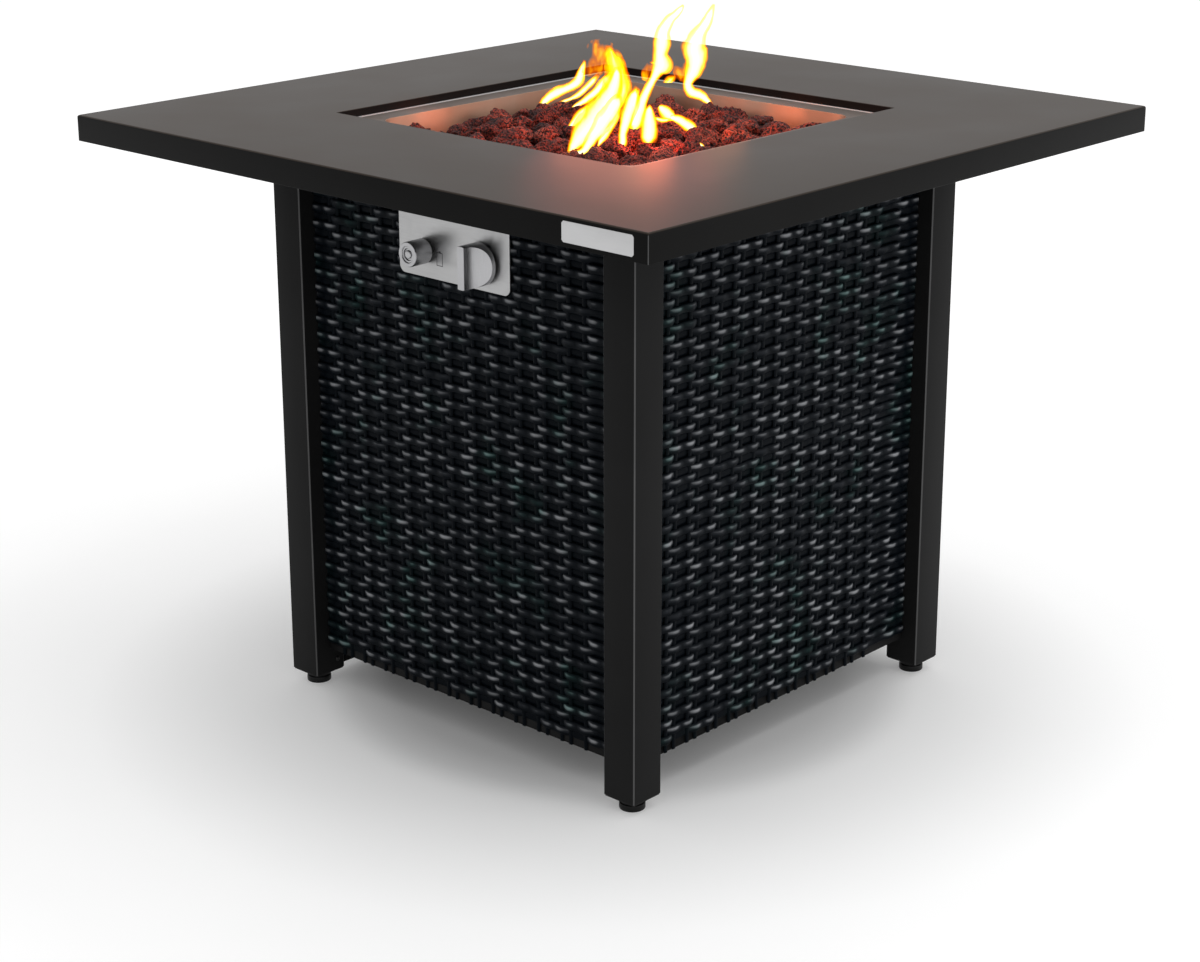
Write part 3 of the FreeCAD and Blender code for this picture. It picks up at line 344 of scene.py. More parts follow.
def from_points(name, points, faces):
    mesh = bpy.data.meshes.new(name)
    mesh.from_pydata([tuple(point) for point in points], [], faces)
    return link(name, mesh)


def from_bmesh(name, shape, smooth=True):
    mesh = bpy.data.meshes.new(name)
    bmesh.ops.recalc_face_normals(shape, faces=shape.faces)
    shape.to_mesh(mesh)
    shape.free()
    return link(name, mesh, smooth)


def creased(piece, degrees=CREASE_DEGREES):
    """Smooth shading that stops at sharp edges."""
    piece.data.set_sharp_from_angle(angle=math.radians(degrees))
    return piece


def stand_for(piece, *nodes):
    """The piece takes the place, the body and the look of CAD nodes."""
    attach(piece, BODY_OF[nodes[0]])
    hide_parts(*nodes)
    return dress(piece, SLOT_OF[nodes[0]])


def other_look(piece, material, chosen):
    """Another material on the faces whose normal is chosen."""
    piece.data.materials.append(material)
    for polygon in piece.data.polygons:
        if chosen(polygon.normal):
            polygon.material_index = len(piece.data.materials) - 1


def corner_facing(normal):
    """Whether a face looks out of an upright corner, between two sides."""
    return min(abs(normal.x), abs(normal.y)) > CORNER_SHARE


def softened(node, width_mm, segments=3):
    """A copy of a CAD node with its sharp edges rounded."""
    shape = bmesh.new()
    shape.from_mesh(NODES[node].data)
    bmesh.ops.scale(shape, vec=(1 / MM,) * 3, verts=shape.verts)
    bmesh.ops.remove_doubles(shape, verts=shape.verts, dist=WELD_DISTANCE)
    flat = math.radians(FLAT_DEGREES)
    bmesh.ops.dissolve_limit(shape, angle_limit=flat, verts=shape.verts, edges=shape.edges)
    shared = [edge for edge in shape.edges if len(edge.link_faces) == 2]
    sharp = [edge for edge in shared if edge.calc_face_angle() > math.radians(SHARP_DEGREES)]
    bmesh.ops.bevel(
        shape, geom=sharp, offset=width_mm, offset_type="OFFSET", segments=segments, profile=0.5,
        affect="EDGES", clamp_overlap=True,
    )
    piece = creased(from_bmesh(node + "_eased", shape), EASED_CREASE_DEGREES)
    return stand_for(piece, node)


def around(segments):
    """The angles of equal steps round a full turn."""
    return [2 * math.pi * step / segments for step in range(segments)]


def band(shape, here, there):
    """Faces between two closed rings of vertices."""
    for index in range(len(here)):
        following = (index + 1) % len(here)
        shape.faces.new([here[index], here[following], there[following], there[index]])


def loop_faces(shape, rings):
    """Closed rings of points joined in a loop, the last to the first."""
    made = [[shape.verts.new(point) for point in ring] for ring in rings]
    for here, there in zip(made, made[1:] + made[:1]):
        band(shape, here, there)


def finished(name, shape):
    """The piece of a shape whose rings may meet in one point on their axis."""
    bmesh.ops.remove_doubles(shape, verts=shape.verts, dist=MEET_DISTANCE)
    bmesh.ops.dissolve_degenerate(shape, dist=LEAST_EDGE, edges=shape.edges)
    return creased(from_bmesh(name, shape))


def turned(name, profile, center):
    """A ring or disc turned on an axis along Y, from (radius, y) points that go round its section."""
    x, z = center
    shape = bmesh.new()
    loop_faces(shape, [[(x + r * math.cos(a), y, z + r * math.sin(a)) for r, y in profile]
                       for a in around(TURNED_SEGMENTS)])
    return finished(name, shape)


def quarter_turn(points, quarter):
    """Points of the front side moved to another side of the table."""
    angle = math.radians(90 * quarter)
    along, across = math.cos(angle), math.sin(angle)
    return points @ np.array([[along, -across, 0], [across, along, 0], [0, 0, 1]]).T


# Woven panels

# The weave's distance from the table's middle, the height of a row, the length after which a row
# repeats, and how far a row may be off along the panel.
WEAVE_PLANE = 237.2
WEAVE_ROW = 8.79
WEAVE_PERIOD = 66.6
PHASE_SPREAD = 1.2
# The places along a strip keep this far from its ends.
STATION_MARGIN = 1.0
# A strip: half its width, its thickness, the power that bulges its front, how far out it lies at
# lift 0, its rise from there to lift 1, and how much its upper edge leans back.
STRIP_HALF = 4.8
STRIP_THICKNESS = 2.1
STRIP_BULGE = 0.8
STRIP_UNDER = -3.0
STRIP_RISE = 4.6
STRIP_LEAN = (0.1, 0.35)
# Its back: the width as a share of the front's, the depth behind the place at lift 0, and how much
# deeper it is at lift 0 and in its middle.
BACK_SHARE = 0.86
BACK_DEPTH = 0.6
BACK_DROP = 1.5
BACK_RIDGE = 0.9
# Slow waves in a strip's height: how high they are, and their lengths along and up.
SAG_WAVES = [(0.45, 43, 61), (0.25, 17, 29)]
# Stakes: half their width, their distance from the pair's middle and from the weave's plane, their
# sides, the pairs to each side, and the distance that they keep from a panel's sides.
STAKE_HALF = 2.6
STAKE_OFFSET = 10.5
STAKE_OUT = 0.7
STAKE_SIDES = 8
STAKE_PAIRS = 8
STAKE_MARGIN = 4.0
FRAME_TUBE = 15.0
# The least lift of a strip on a tube of the frame, and up to this far beside it.
ON_FRAME_LIFT = 0.34
ON_FRAME_MARGIN = 2.0
# A strip by the distance from the middle of the pair of stakes that it passes over:
# how far it stands out, and how strong its painted highlight is there.
KNOT_AT = [0.0, 4.0, 7.0, 9.0, 10.5, 12.0, 14.5, 18.0, 23.0, 28.0, 33.3]
KNOT_LIFT = [0.74, 0.82, 0.94, 0.99, 1.0, 0.98, 0.84, 0.48, 0.08, 0.0, 0.05]
KNOT_HIGHLIGHT = [0.06, 0.45, 0.9, 1.0, 1.0, 1.0, 0.94, 0.66, 0.2, 0.0, 0.0]
# The share of that lift and painted highlight that each strip gets.
LIFT_SPREAD = (0.95, 1.0)
HIGHLIGHT_SPREAD = (0.6, 1.0)
# The painted highlight round its section, brightest on the upper front that faces the light from
# above: nine points from its top edge over the front to its bottom edge, and three on its back.
FRONT_POINTS = 9
SECTION_HIGHLIGHT = [0.0, 0.0, 0.22, 0.94, 0.62, 0.08, 0.0, 0.0, 0.0, 0.0, 0.0, 0.0]


def strip_stations(span, phase):
    """Places along a strip, closer together where it bends."""
    first = math.floor((span[0] - phase) / WEAVE_PERIOD)
    last = math.ceil((span[1] - phase) / WEAVE_PERIOD)
    middles = [phase + turn * WEAVE_PERIOD for turn in range(first, last + 1)]
    places = {round(middle + side * at, 3) for middle in middles for at in KNOT_AT for side in (-1, 1)}
    low, high = span[0] + STATION_MARGIN, span[1] - STATION_MARGIN
    return np.array([span[0], *sorted(x for x in places if low < x < high), span[1]])


def strip_rings(rng, span, z, phase, limits, rails):
    """The closed section of one strip swept along its span, and its painted highlight there. The limits
    are the panel's own sides."""
    x = strip_stations(span, phase)
    distance = np.abs((x - phase + WEAVE_PERIOD / 2) % WEAVE_PERIOD - WEAVE_PERIOD / 2)
    lift = np.interp(distance, KNOT_AT, KNOT_LIFT) * rng.uniform(*LIFT_SPREAD)
    painted_highlight = np.interp(distance, KNOT_AT, KNOT_HIGHLIGHT) * rng.uniform(*HIGHLIGHT_SPREAD)
    tube = FRAME_TUBE + ON_FRAME_MARGIN
    on_tube = (x < limits[0] + tube) | (x > limits[1] - tube)
    if any(low - STRIP_HALF < z < high + STRIP_HALF for low, high in rails):
        on_tube[:] = True
    lift = np.where(on_tube, np.maximum(lift, ON_FRAME_LIFT), lift)
    depth = STRIP_UNDER + STRIP_RISE * lift
    sag = sum(height * np.sin(x / along + z / up) for height, along, up in SAG_WAVES)
    lean = rng.uniform(*STRIP_LEAN)
    angles = np.linspace(0, math.pi, FRONT_POINTS)
    across = np.concatenate([np.cos(angles), [-BACK_SHARE, 0.0, BACK_SHARE]])
    front = depth[:, None] + np.sin(angles) ** STRIP_BULGE * STRIP_THICKNESS
    back = STRIP_UNDER - BACK_DEPTH - BACK_DROP * (1 - lift[:, None]) - np.array([0.0, BACK_RIDGE, 0.0])
    rings = np.empty((len(x), len(across), 3))
    rings[:, :, 0] = x[:, None]
    rings[:, :, 1] = lean * across - WEAVE_PLANE - np.concatenate([front, back], axis=1)
    rings[:, :, 2] = z + sag[:, None] + across * STRIP_HALF
    return rings, painted_highlight[:, None] * np.array(SECTION_HIGHLIGHT)


def tube_faces(rings, sides, start):
    """Faces of a closed tube of rings, with its two end caps."""
    faces = []
    for ring in range(rings - 1):
        here = start + ring * sides
        there = here + sides
        for index in range(sides):
            following = (index + 1) % sides
            faces.append((here + index, here + following, there + following, there + index))
    faces.append(tuple(start + index for index in reversed(range(sides))))
    last = start + (rings - 1) * sides
    faces.append(tuple(last + index for index in range(sides)))
    return faces


def stake_rings(x, low, high):
    """The two ends of an upright stake."""
    angles = np.linspace(2 * math.pi, 0, STAKE_SIDES, endpoint=False)
    y = -(WEAVE_PLANE + STAKE_OUT + np.sin(angles))
    ring = np.stack([x + STAKE_HALF * np.cos(angles), y, np.zeros(STAKE_SIDES)], axis=1)
    return np.array([ring + [0, 0, low], ring + [0, 0, high]])


def woven_panel(node, quarter, span, height, anchor, rails, window=None):
    """Strips that pass over and under pairs of stakes, with one crossing at the anchor."""
    rng = random.Random(node)
    points = []
    faces = []
    painted_highlight = []
    total = 0

    def take(rings, highlight=0.0):
        nonlocal total
        count = rings.shape[0] * rings.shape[1]
        faces.extend(tube_faces(rings.shape[0], rings.shape[1], total))
        points.append(rings.reshape(-1, 3))
        painted_highlight.append(np.broadcast_to(highlight, rings.shape[:2]).reshape(-1))
        total += count

    first = math.ceil((height[0] + STRIP_HALF - anchor[1]) / WEAVE_ROW)
    last = math.floor((height[1] - STRIP_HALF - anchor[1]) / WEAVE_ROW)
    for row in range(first, last + 1):
        z = anchor[1] + row * WEAVE_ROW
        phase = anchor[0] + (row % 2) * WEAVE_PERIOD / 2 + rng.uniform(-PHASE_SPREAD, PHASE_SPREAD)
        spans = [span]
        if window and window[1][0] - STRIP_HALF < z < window[1][1] + STRIP_HALF:
            spans = [(span[0], window[0][0]), (window[0][1], span[1])]
        for part in spans:
            take(*strip_rings(rng, part, z, phase, span, rails))
    pairs = [anchor[0] + step * WEAVE_PERIOD / 2 for step in range(-STAKE_PAIRS, STAKE_PAIRS + 1)]
    for x in [pair + side * STAKE_OFFSET for pair in pairs for side in (-1, 1)]:
        if not span[0] + STAKE_MARGIN < x < span[1] - STAKE_MARGIN:
            continue
        if window and window[0][0] - STAKE_MARGIN < x < window[0][1] + STAKE_MARGIN:
            take(stake_rings(x, height[0], window[1][0]))
            take(stake_rings(x, window[1][1], height[1]))
        else:
            take(stake_rings(x, *height))
    placed = quarter_turn(np.concatenate(points), quarter)
    piece = creased(from_points(node + "_strips", placed, faces), STRIP_CREASE_DEGREES)
    # Each point's painted highlight, which the resin's colour follows.
    crest_highlight = piece.data.attributes.new("crest_highlight", "FLOAT", "POINT")
    crest_highlight.data.foreach_set("value", np.concatenate(painted_highlight))
    return stand_for(piece, node)


def rail_heights(frame_node, middle):
    """The heights that the frame's tubes fill: bottom, middle and top."""
    lowest, highest = (corner[2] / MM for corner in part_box(frame_node))
    starts = (lowest, middle, highest - FRAME_TUBE)
    return [(start, start + FRAME_TUBE) for start in starts]


PANEL_SPAN = (-216.4, 216.4)
PANEL_HEIGHT = (42.5, 615.8)
DOOR_SPAN = (-213.2, 213.8)
DOOR_HEIGHT = (38.2, 615.8)
CONTROL_WINDOW = ((-71.5, 71.5), (506.0, 586.0))
FRONT_MIDDLE_RAIL = 486.0
SIDE_MIDDLE_RAIL = 321.7
# The place of one crossing of each panel, along and up.
FRONT_ANCHOR = (-102.6, 398.6)
RIGHT_ANCHOR = (-131.6, 460.2)
BACK_ANCHOR = (-98.0, 401.0)
DOOR_ANCHOR = (-120.0, 405.0)


def panels():
    """The four woven sides. The front one leaves a window for the controls."""
    front_rails = rail_heights("front_frame", FRONT_MIDDLE_RAIL)
    side_rails = rail_heights("right_frame", SIDE_MIDDLE_RAIL)
    door_rails = rail_heights("door_frame", SIDE_MIDDLE_RAIL)
    woven_panel("front_weave", 0, PANEL_SPAN, PANEL_HEIGHT, FRONT_ANCHOR, front_rails, CONTROL_WINDOW)
    woven_panel("right_weave", 1, PANEL_SPAN, PANEL_HEIGHT, RIGHT_ANCHOR, side_rails)
    woven_panel("back_weave", 2, PANEL_SPAN, PANEL_HEIGHT, BACK_ANCHOR, side_rails)
    woven_panel("door_weave", 3, DOOR_SPAN, DOOR_HEIGHT, DOOR_ANCHOR, door_rails)


# Lava rocks

ROCK_SEED = 11
ROCK_KINDS = 9
# The noise on a stone of radius about 1: how fine it is and how high.
LUMPS = (1.1, 0.42)
RIDGES = (2.3, -0.3)
PITS = [(6.5, 0.12), (13.0, 0.09)]
MEAN_RADIUS = 1.05
FULL_TURN = 6.283
ROCK_SIZES = (17.0, 27.0)
FLATTENING = [(0.6, 0.9), (0.5, 0.8)]
# Each layer: the stones' spacing, their middles' height and how much that varies.
ROCK_LAYERS = [(40.0, 591.0, 3.0), (37.0, 614.0, 5.0)]
ROW_SHIFT = 0.25
ROCK_SHIFT = 0.24
PAN_REACH = 177.0
ROCK_FLOOR = 574.7
ROCK_TOP = 633.5


def rock_kinds():
    """Lumpy stones about 1 in radius, each a different shape."""
    kinds = []
    for kind in range(ROCK_KINDS):
        shape = bmesh.new()
        bmesh.ops.create_icosphere(shape, subdivisions=4, radius=1.0)
        offset = Vector((kind * 7.3, kind * 3.1, kind * 5.7))
        points = []
        for vertex in shape.verts:
            way = vertex.co.normalized()
            lump = noise.noise(way * LUMPS[0] + offset) * LUMPS[1]
            ridge = abs(noise.noise(way * RIDGES[0] + offset * 2)) * RIDGES[1]
            pit = sum(noise.noise(way * fine + offset) * high for fine, high in PITS)
            points.append(way * (MEAN_RADIUS + lump + ridge + pit))
        faces = [tuple(vertex.index for vertex in face.verts) for face in shape.faces]
        shape.free()
        kinds.append((np.array([tuple(point) for point in points]), faces))
    return kinds


def turn_matrix(rng):
    """A turn about any axis by any angle."""
    axis = Vector((rng.gauss(0, 1), rng.gauss(0, 1), rng.gauss(0, 1))).normalized()
    return np.array(Matrix.Rotation(rng.uniform(0, FULL_TURN), 3, axis))


def rock_pile():
    """Two layers of loose stones that fill the pan."""
    rng = random.Random(ROCK_SEED)
    kinds = rock_kinds()
    points = []
    faces = []
    total = 0
    for pitch, height, spread in ROCK_LAYERS:
        count = int(PAN_REACH / pitch)
        for column in range(-count, count + 1):
            for row in range(-count, count + 1):
                size = rng.uniform(*ROCK_SIZES)
                x = (column + ROW_SHIFT * (row % 2) + rng.uniform(-ROCK_SHIFT, ROCK_SHIFT)) * pitch
                y = (row + rng.uniform(-ROCK_SHIFT, ROCK_SHIFT)) * pitch
                z = height + rng.uniform(-spread, spread)
                shape, kind_faces = kinds[rng.randrange(ROCK_KINDS)]
                flat = np.array([1.0, *(rng.uniform(*limits) for limits in FLATTENING)])
                stone = (shape * flat * size) @ turn_matrix(rng).T
                limit = PAN_REACH - np.abs(stone[:, :2]).max()
                stone = stone + [np.clip(x, -limit, limit), np.clip(y, -limit, limit), 0]
                lift = max(z, ROCK_FLOOR - stone[:, 2].min())
                stone[:, 2] += min(lift, ROCK_TOP - stone[:, 2].max())
                points.append(stone)
                faces.extend(tuple(total + index for index in face) for face in kind_faces)
                total += len(stone)
    return stand_for(from_points("lava_rock_pile", np.concatenate(points), faces), "lava_rocks")


# Pan and feet

PAN_EDGE = 0.3
# A face whose normal rises at least this much belongs to the pan's floor or the top of its flange;
# such faces are painted darker, as painted shade.
LEVEL_RISE = 0.9
HEM_CORNER = 4.0
HEM_CORNER_STEPS = 6
# The section of the rolled edge, as (inward, up) from the flange's outer edge.
HEM_SECTION = [(0.3, 0.0), (0.1, 0.5), (0.5, 0.95), (1.4, 1.1), (2.2, 0.9), (2.6, 0.0)]
LEG_SIDE = 41.0
LEG_WALL = 1.5
FOOT_HEIGHT = 13.5
FOOT_FLANGE = 1.5
FOOT_PLUG = 18.0
FLANGE_INSET = 1.3
FOOT_JOIN = 0.2
FOOT_SEGMENTS = 48
BLOCK_EDGE = 0.3
# The section of the rubber pad, as (radius, height).
FOOT_SECTION = [
    (0.0, 0.0), (12.4, 0.0), (13.1, 0.3), (13.4, 1.0), (13.4, 5.8), (13.1, 6.6), (12.2, 7.0),
    (11.6, 7.0), (11.6, 8.0), (12.6, 8.3), (12.9, 9.0), (12.9, 13.4), (0.0, 13.4),
]


def pan():
    """The pan with its level faces painted darker as painted shade, and the rolled edge of its flange.
    """
    # Painted shade: a darker, duller copy of the steel on the level faces, for the dark wall that they
    # reflect.
    level_shade = satin("level_shade_steel", (0.13, 0.112, 0.1), (0.09, 0.074, 0.064), 0.55, 0.1, 0.12)
    other_look(softened("burner_pan", PAN_EDGE), level_shade, lambda normal: normal.z > LEVEL_RISE)
    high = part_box("burner_pan")[1]
    reach = high[0] / MM - HEM_CORNER
    rings = []
    for quarter in range(4):
        diagonal = math.radians(45 + 90 * quarter)
        middle = [reach * math.sqrt(2) * turn(diagonal) for turn in (math.cos, math.sin)]
        for step in range(HEM_CORNER_STEPS + 1):
            angle = math.radians(90 * (quarter + step / HEM_CORNER_STEPS))
            rings.append([(middle[0] + (HEM_CORNER - inward) * math.cos(angle),
                           middle[1] + (HEM_CORNER - inward) * math.sin(angle),
                           high[2] / MM + up) for inward, up in HEM_SECTION])
    shape = bmesh.new()
    loop_faces(shape, rings)
    dress(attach(finished("pan_hem", shape), BODY_OF["burner_pan"]), "plate_steel")


def block(shape, low, high):
    """A box with eased edges between two corners."""
    made = bmesh.ops.create_cube(shape, size=1.0)["verts"]
    for vertex in made:
        vertex.co = [a + (share + 0.5) * (b - a) for share, a, b in zip(vertex.co, low, high)]
    edges = list({edge for vertex in made for edge in vertex.link_edges})
    bmesh.ops.bevel(shape, geom=edges, offset=BLOCK_EDGE, segments=2, profile=0.5, affect="EDGES")


def feet():
    """Push-in feet: a grooved rubber pad, the flange under the leg's walls and the plug inside them."""
    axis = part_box("feet")[1][0] / MM - LEG_SIDE / 2
    shape = bmesh.new()
    for x in (-axis, axis):
        for y in (-axis, axis):
            loop_faces(shape, [[(x + r * math.cos(a), y + r * math.sin(a), z) for r, z in FOOT_SECTION]
                               for a in around(FOOT_SEGMENTS)])
            leg = FOOT_HEIGHT + FOOT_FLANGE
            for half, start, end in ((LEG_SIDE / 2 - FLANGE_INSET, FOOT_HEIGHT, leg),
                                     (LEG_SIDE / 2 - LEG_WALL, leg, leg + FOOT_PLUG)):
                block(shape, (x - half, y - half, start - FOOT_JOIN), (x + half, y + half, end))
    stand_for(finished("foot_pads", shape), "feet")


# Controls

IGNITER_CENTER = (-40.0, 530.0)
CAP_SECTION = [
    (6.6, -265.8), (6.6, -267.4), (8.3, -267.4), (8.55, -268.3), (9.1, -268.75), (11.3, -268.8),
    (12.4, -268.45), (12.9, -267.6), (13.0, -266.6), (13.0, -247.1), (12.6, -246.3), (12.0, -246.1),
    (10.06, -246.1), (10.06, -265.8),
]
BUTTON_SECTION = [
    (0.0, -268.75), (2.4, -268.7), (3.7, -268.4), (4.3, -267.7), (4.4, -266.5), (6.2, -266.5),
    (6.45, -266.3), (6.45, -265.55), (6.85, -265.55), (6.85, -264.1), (0.0, -264.1),
]
ROUND_SIDES = 16
PLATE_FACE = -242.8
MARK_THICKNESS = 0.04
MARK_LINE = 0.8
# The battery symbol's sides and ends, its pole's sides and height, and the dot.
BATTERY_X = (-24.6, -15.8)
BATTERY_Z = (516.6, 530.6)
POLE_X = (-21.6, -18.4)
POLE_HEIGHT = 1.5
DOT_CENTER = (6.7, 536.5)
DOT_RADIUS = 1.1


def igniter():
    """The screw cap and the push button with turned edges."""
    stand_for(turned("igniter_cap_turned", CAP_SECTION, IGNITER_CENTER), "igniter_cap")
    stand_for(turned("igniter_button_turned", BUTTON_SECTION, IGNITER_CENTER), "igniter_button")


def raised(name, outline, y, thickness, body, material):
    """A thin flat shape on a face that looks to -Y, from its outline loops of (x, z)."""
    shape = bmesh.new()
    for loop in outline:
        front = [shape.verts.new((x, y - thickness, z)) for x, z in loop]
        back = [shape.verts.new((x, y, z)) for x, z in loop]
        shape.faces.new(front)
        shape.faces.new(list(reversed(back)))
        band(shape, back, front)
    piece = from_bmesh(name, shape, smooth=False)
    piece.data.materials.append(material)
    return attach(piece, body)


def bar(x, z):
    """The outline of an upright rectangle between two sides and two ends."""
    return [(x[0], z[0]), (x[1], z[0]), (x[1], z[1]), (x[0], z[1])]


def plate_marks():
    """A battery's outline and a small dot, printed on the plate."""
    ink = printed("grey_ink", (0.025, 0.025, 0.027))
    left, right = BATTERY_X
    low, high = BATTERY_Z
    inside = (left + MARK_LINE, right - MARK_LINE)
    bars = [
        bar((left, left + MARK_LINE), BATTERY_Z),
        bar((right - MARK_LINE, right), BATTERY_Z),
        bar(inside, (low, low + MARK_LINE)),
        bar(inside, (high - MARK_LINE, high)),
        bar(POLE_X, (high, high + POLE_HEIGHT)),
    ]
    raised("battery_mark", bars, PLATE_FACE, MARK_THICKNESS, "table", ink)
    x, z = DOT_CENTER
    dot = [(x + DOT_RADIUS * math.cos(a), z + DOT_RADIUS * math.sin(a)) for a in around(ROUND_SIDES)]
    raised("plate_dot", [dot], PLATE_FACE, MARK_THICKNESS, "table", ink)


# The rings of a screw's head, as shares of its radius and height, from its edge to its recess.
SCREW_RINGS = [(1.0, 0.0), (1.0, 0.35), (0.82, 0.75), (0.45, 1.0), (0.16, 0.45)]
# Each screw: its place, the way it faces, its radius and its height.
CLIP_SCREWS = [((side * 150.0, -220.0, 641.8), (0, 0, -1), 3.2, 1.8) for side in (-1, 1)]
LEG_SCREWS = [((-217.0, y, 27.0), (1, 0, 0), 2.6, 1.2) for y in (-227.0, 227.0)]
BRACKET_SCREWS = [
    ((x, -220.5, z), (0, 1, 0), 3.0, 1.8) for x in (-74.0, 74.0) for z in (494.0, 606.0)
]
CATCH_SCREWS = [((-212.0, -203.0, z), (0, 1, 0), 2.2, 1.2) for z in (314.5, 343.5)]
STRIKE_SCREWS = [((-220.5, -206.5, z), (1, 0, 0), 2.2, 1.0) for z in (310.0, 348.0)]


def screw(shape, place, axis, radius, height):
    """A domed head with a round recess, on a face that looks along an axis."""
    turn = Vector((0, 0, 1)).rotation_difference(Vector(axis)).to_matrix()
    loops = []
    for share, up in SCREW_RINGS:
        ring = radius * share
        points = [(ring * math.cos(a), ring * math.sin(a), height * up) for a in around(ROUND_SIDES)]
        loops.append([shape.verts.new(turn @ Vector(point) + Vector(place)) for point in points])
    for lower, upper in zip(loops, loops[1:]):
        band(shape, lower, upper)
    shape.faces.new(list(reversed(loops[0])))
    shape.faces.new(loops[-1])


def screws():
    """The small fasteners, one piece to a body."""
    fixed = bmesh.new()
    for quarter in range(4):
        for place, *rest in CLIP_SCREWS:
            screw(fixed, quarter_turn(np.array(place), quarter), *rest)
    for row in LEG_SCREWS + BRACKET_SCREWS + CATCH_SCREWS:
        screw(fixed, *row)
    piece = creased(from_bmesh("frame_screws", fixed))
    dress(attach(piece, "table"), "hinge_steel")
    hung = bmesh.new()
    for row in STRIKE_SCREWS:
        screw(hung, *row)
    piece = creased(from_bmesh("door_screws", hung))
    dress(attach(piece, "door"), "hinge_steel")


# Flames, part of the stage

PHOTO_SIZE = (1200, 962)
ROCK_LEVEL = 0.624
FLAME_STRENGTH = 1.5
# A flame's sheet: points across, points along from knot to knot, how far its middle bows out as a
# share of its half width, how much wider it is than the flame, and its least half width in metres.
FLAME_ACROSS = 13
FLAME_ALONG = 12
FLAME_BOW = 0.45
FLAME_HALO = 1.5
FLAME_LEAST = 0.0004
# The points over which its light fades to the tip and comes up from the root, and its share there.
TIP_POINTS = 7
ROOT_POINTS = 4
ROOT_SHARE = 0.5
# Each flame: how cool it burns, the pixel of the photograph where it stands on the rocks,
# and pixels up its middle with its width there.
FLAMES = [
    ("left_body", 0.0, (572, 149), [
        (569, 152, 6), (582, 134, 17), (596, 118, 23), (606, 103, 23), (612, 90, 16), (616, 78, 9),
        (617, 67, 3),
    ]),
    ("left_top", 0.48, (604, 130), [
        (603, 108, 10), (612, 92, 18), (616, 78, 18), (615, 65, 15), (612, 54, 8), (610, 48, 3),
    ]),
    ("left_crown", 0.46, (612, 128), [(618, 106, 8), (623, 90, 12), (623, 75, 9), (620, 60, 3)]),
    ("left_front", 0.0, (584, 152), [
        (568, 154, 4), (583, 151, 7), (592, 138, 10), (603, 123, 14), (613, 108, 13), (621, 95, 6),
    ]),
    ("left_back", 0.1, (598, 146), [(598, 146, 2), (605, 133, 8), (613, 120, 9), (619, 108, 6)]),
    ("left_arm", 0.05, (543, 105), [
        (541, 105, 5), (552, 95, 8), (567, 88, 8), (577, 82, 9), (581, 72, 6), (585, 60, 2),
    ]),
    ("streak", 0.05, (570, 110), [(569, 110, 2), (588, 98, 6), (603, 84, 8), (613, 71, 4)]),
    ("thin_streak", 0.2, (560, 104), [(559, 103, 2), (576, 96, 4), (589, 85, 5), (598, 75, 3)]),
    ("low_spark", 0.1, (567, 130), [(566, 131, 2), (579, 117, 9), (589, 103, 2)]),
    ("column", 0.0, (620, 146), [
        (613, 152, 2), (622, 144, 7), (623, 132, 8), (627, 117, 11), (632, 101, 11), (637, 86, 3),
    ]),
    ("column_back", 0.3, (634, 127), [(630, 128, 4), (637, 115, 9), (634, 100, 8), (640, 88, 3)]),
    ("tall_left", 0.0, (636, 128), [
        (634, 129, 9), (639, 111, 11), (645, 95, 8), (652, 81, 7), (657, 71, 11), (661, 64, 17),
        (660, 54, 11), (662, 43, 13), (663, 32, 10), (669, 21, 8), (678, 12, 5), (684, 5, 2),
    ]),
    ("right_middle", 0.0, (649, 140), [
        (648, 142, 13), (649, 127, 14), (649, 114, 9), (650, 104, 2),
    ]),
    ("right_blob", 0.05, (668, 124), [(659, 106, 4), (665, 111, 10), (671, 116, 9), (676, 118, 3)]),
    ("right_body", 0.0, (688, 134), [(670, 117, 4), (680, 120, 8), (690, 127, 9), (700, 136, 4)]),
    ("right_thread", 0.3, (664, 128), [(655, 118, 2), (663, 120, 4), (672, 119, 2)]),
    ("tall_right", 0.0, (711, 107), [
        (712, 105, 3), (702, 96, 7), (691, 91, 9), (688, 83, 8), (693, 71, 13), (696, 59, 18),
        (694, 47, 19), (699, 34, 12), (707, 21, 8), (714, 4, 2),
    ]),
    ("small_right", 0.45, (663, 93), [(662, 91, 4), (667, 83, 8), (677, 74, 2)]),
    ("spark_right", 0.2, (699, 143), [(697, 143, 1), (701, 145, 3), (705, 148, 1)]),
    ("puff_left", 0.8, (600, 110), [(588, 76, 10), (597, 61, 20), (604, 49, 21), (609, 41, 6)]),
    ("puff_top", 0.68, (612, 112), [(618, 92, 14), (614, 70, 18), (611, 53, 12), (609, 45, 3)]),
    ("puff_right", 0.8, (700, 106), [(683, 81, 9), (684, 69, 15), (688, 56, 6)]),
    ("puff_middle", 0.76, (636, 128), [(646, 81, 6), (649, 72, 10), (655, 60, 5)]),
]


def photo_ray(x, y):
    """The direction in which the camera sees a pixel of the photograph."""
    width, height = PHOTO_SIZE
    sideways = ((x - width / 2) / width + CAMERA_SHIFT[0]) * SENSOR_MM
    upwards = ((height / 2 - y) / width + CAMERA_SHIFT[1]) * SENSOR_MM
    return CAMERA_RIGHT * sideways + CAMERA_UP * upwards - CAMERA_BACK * LENS_MM


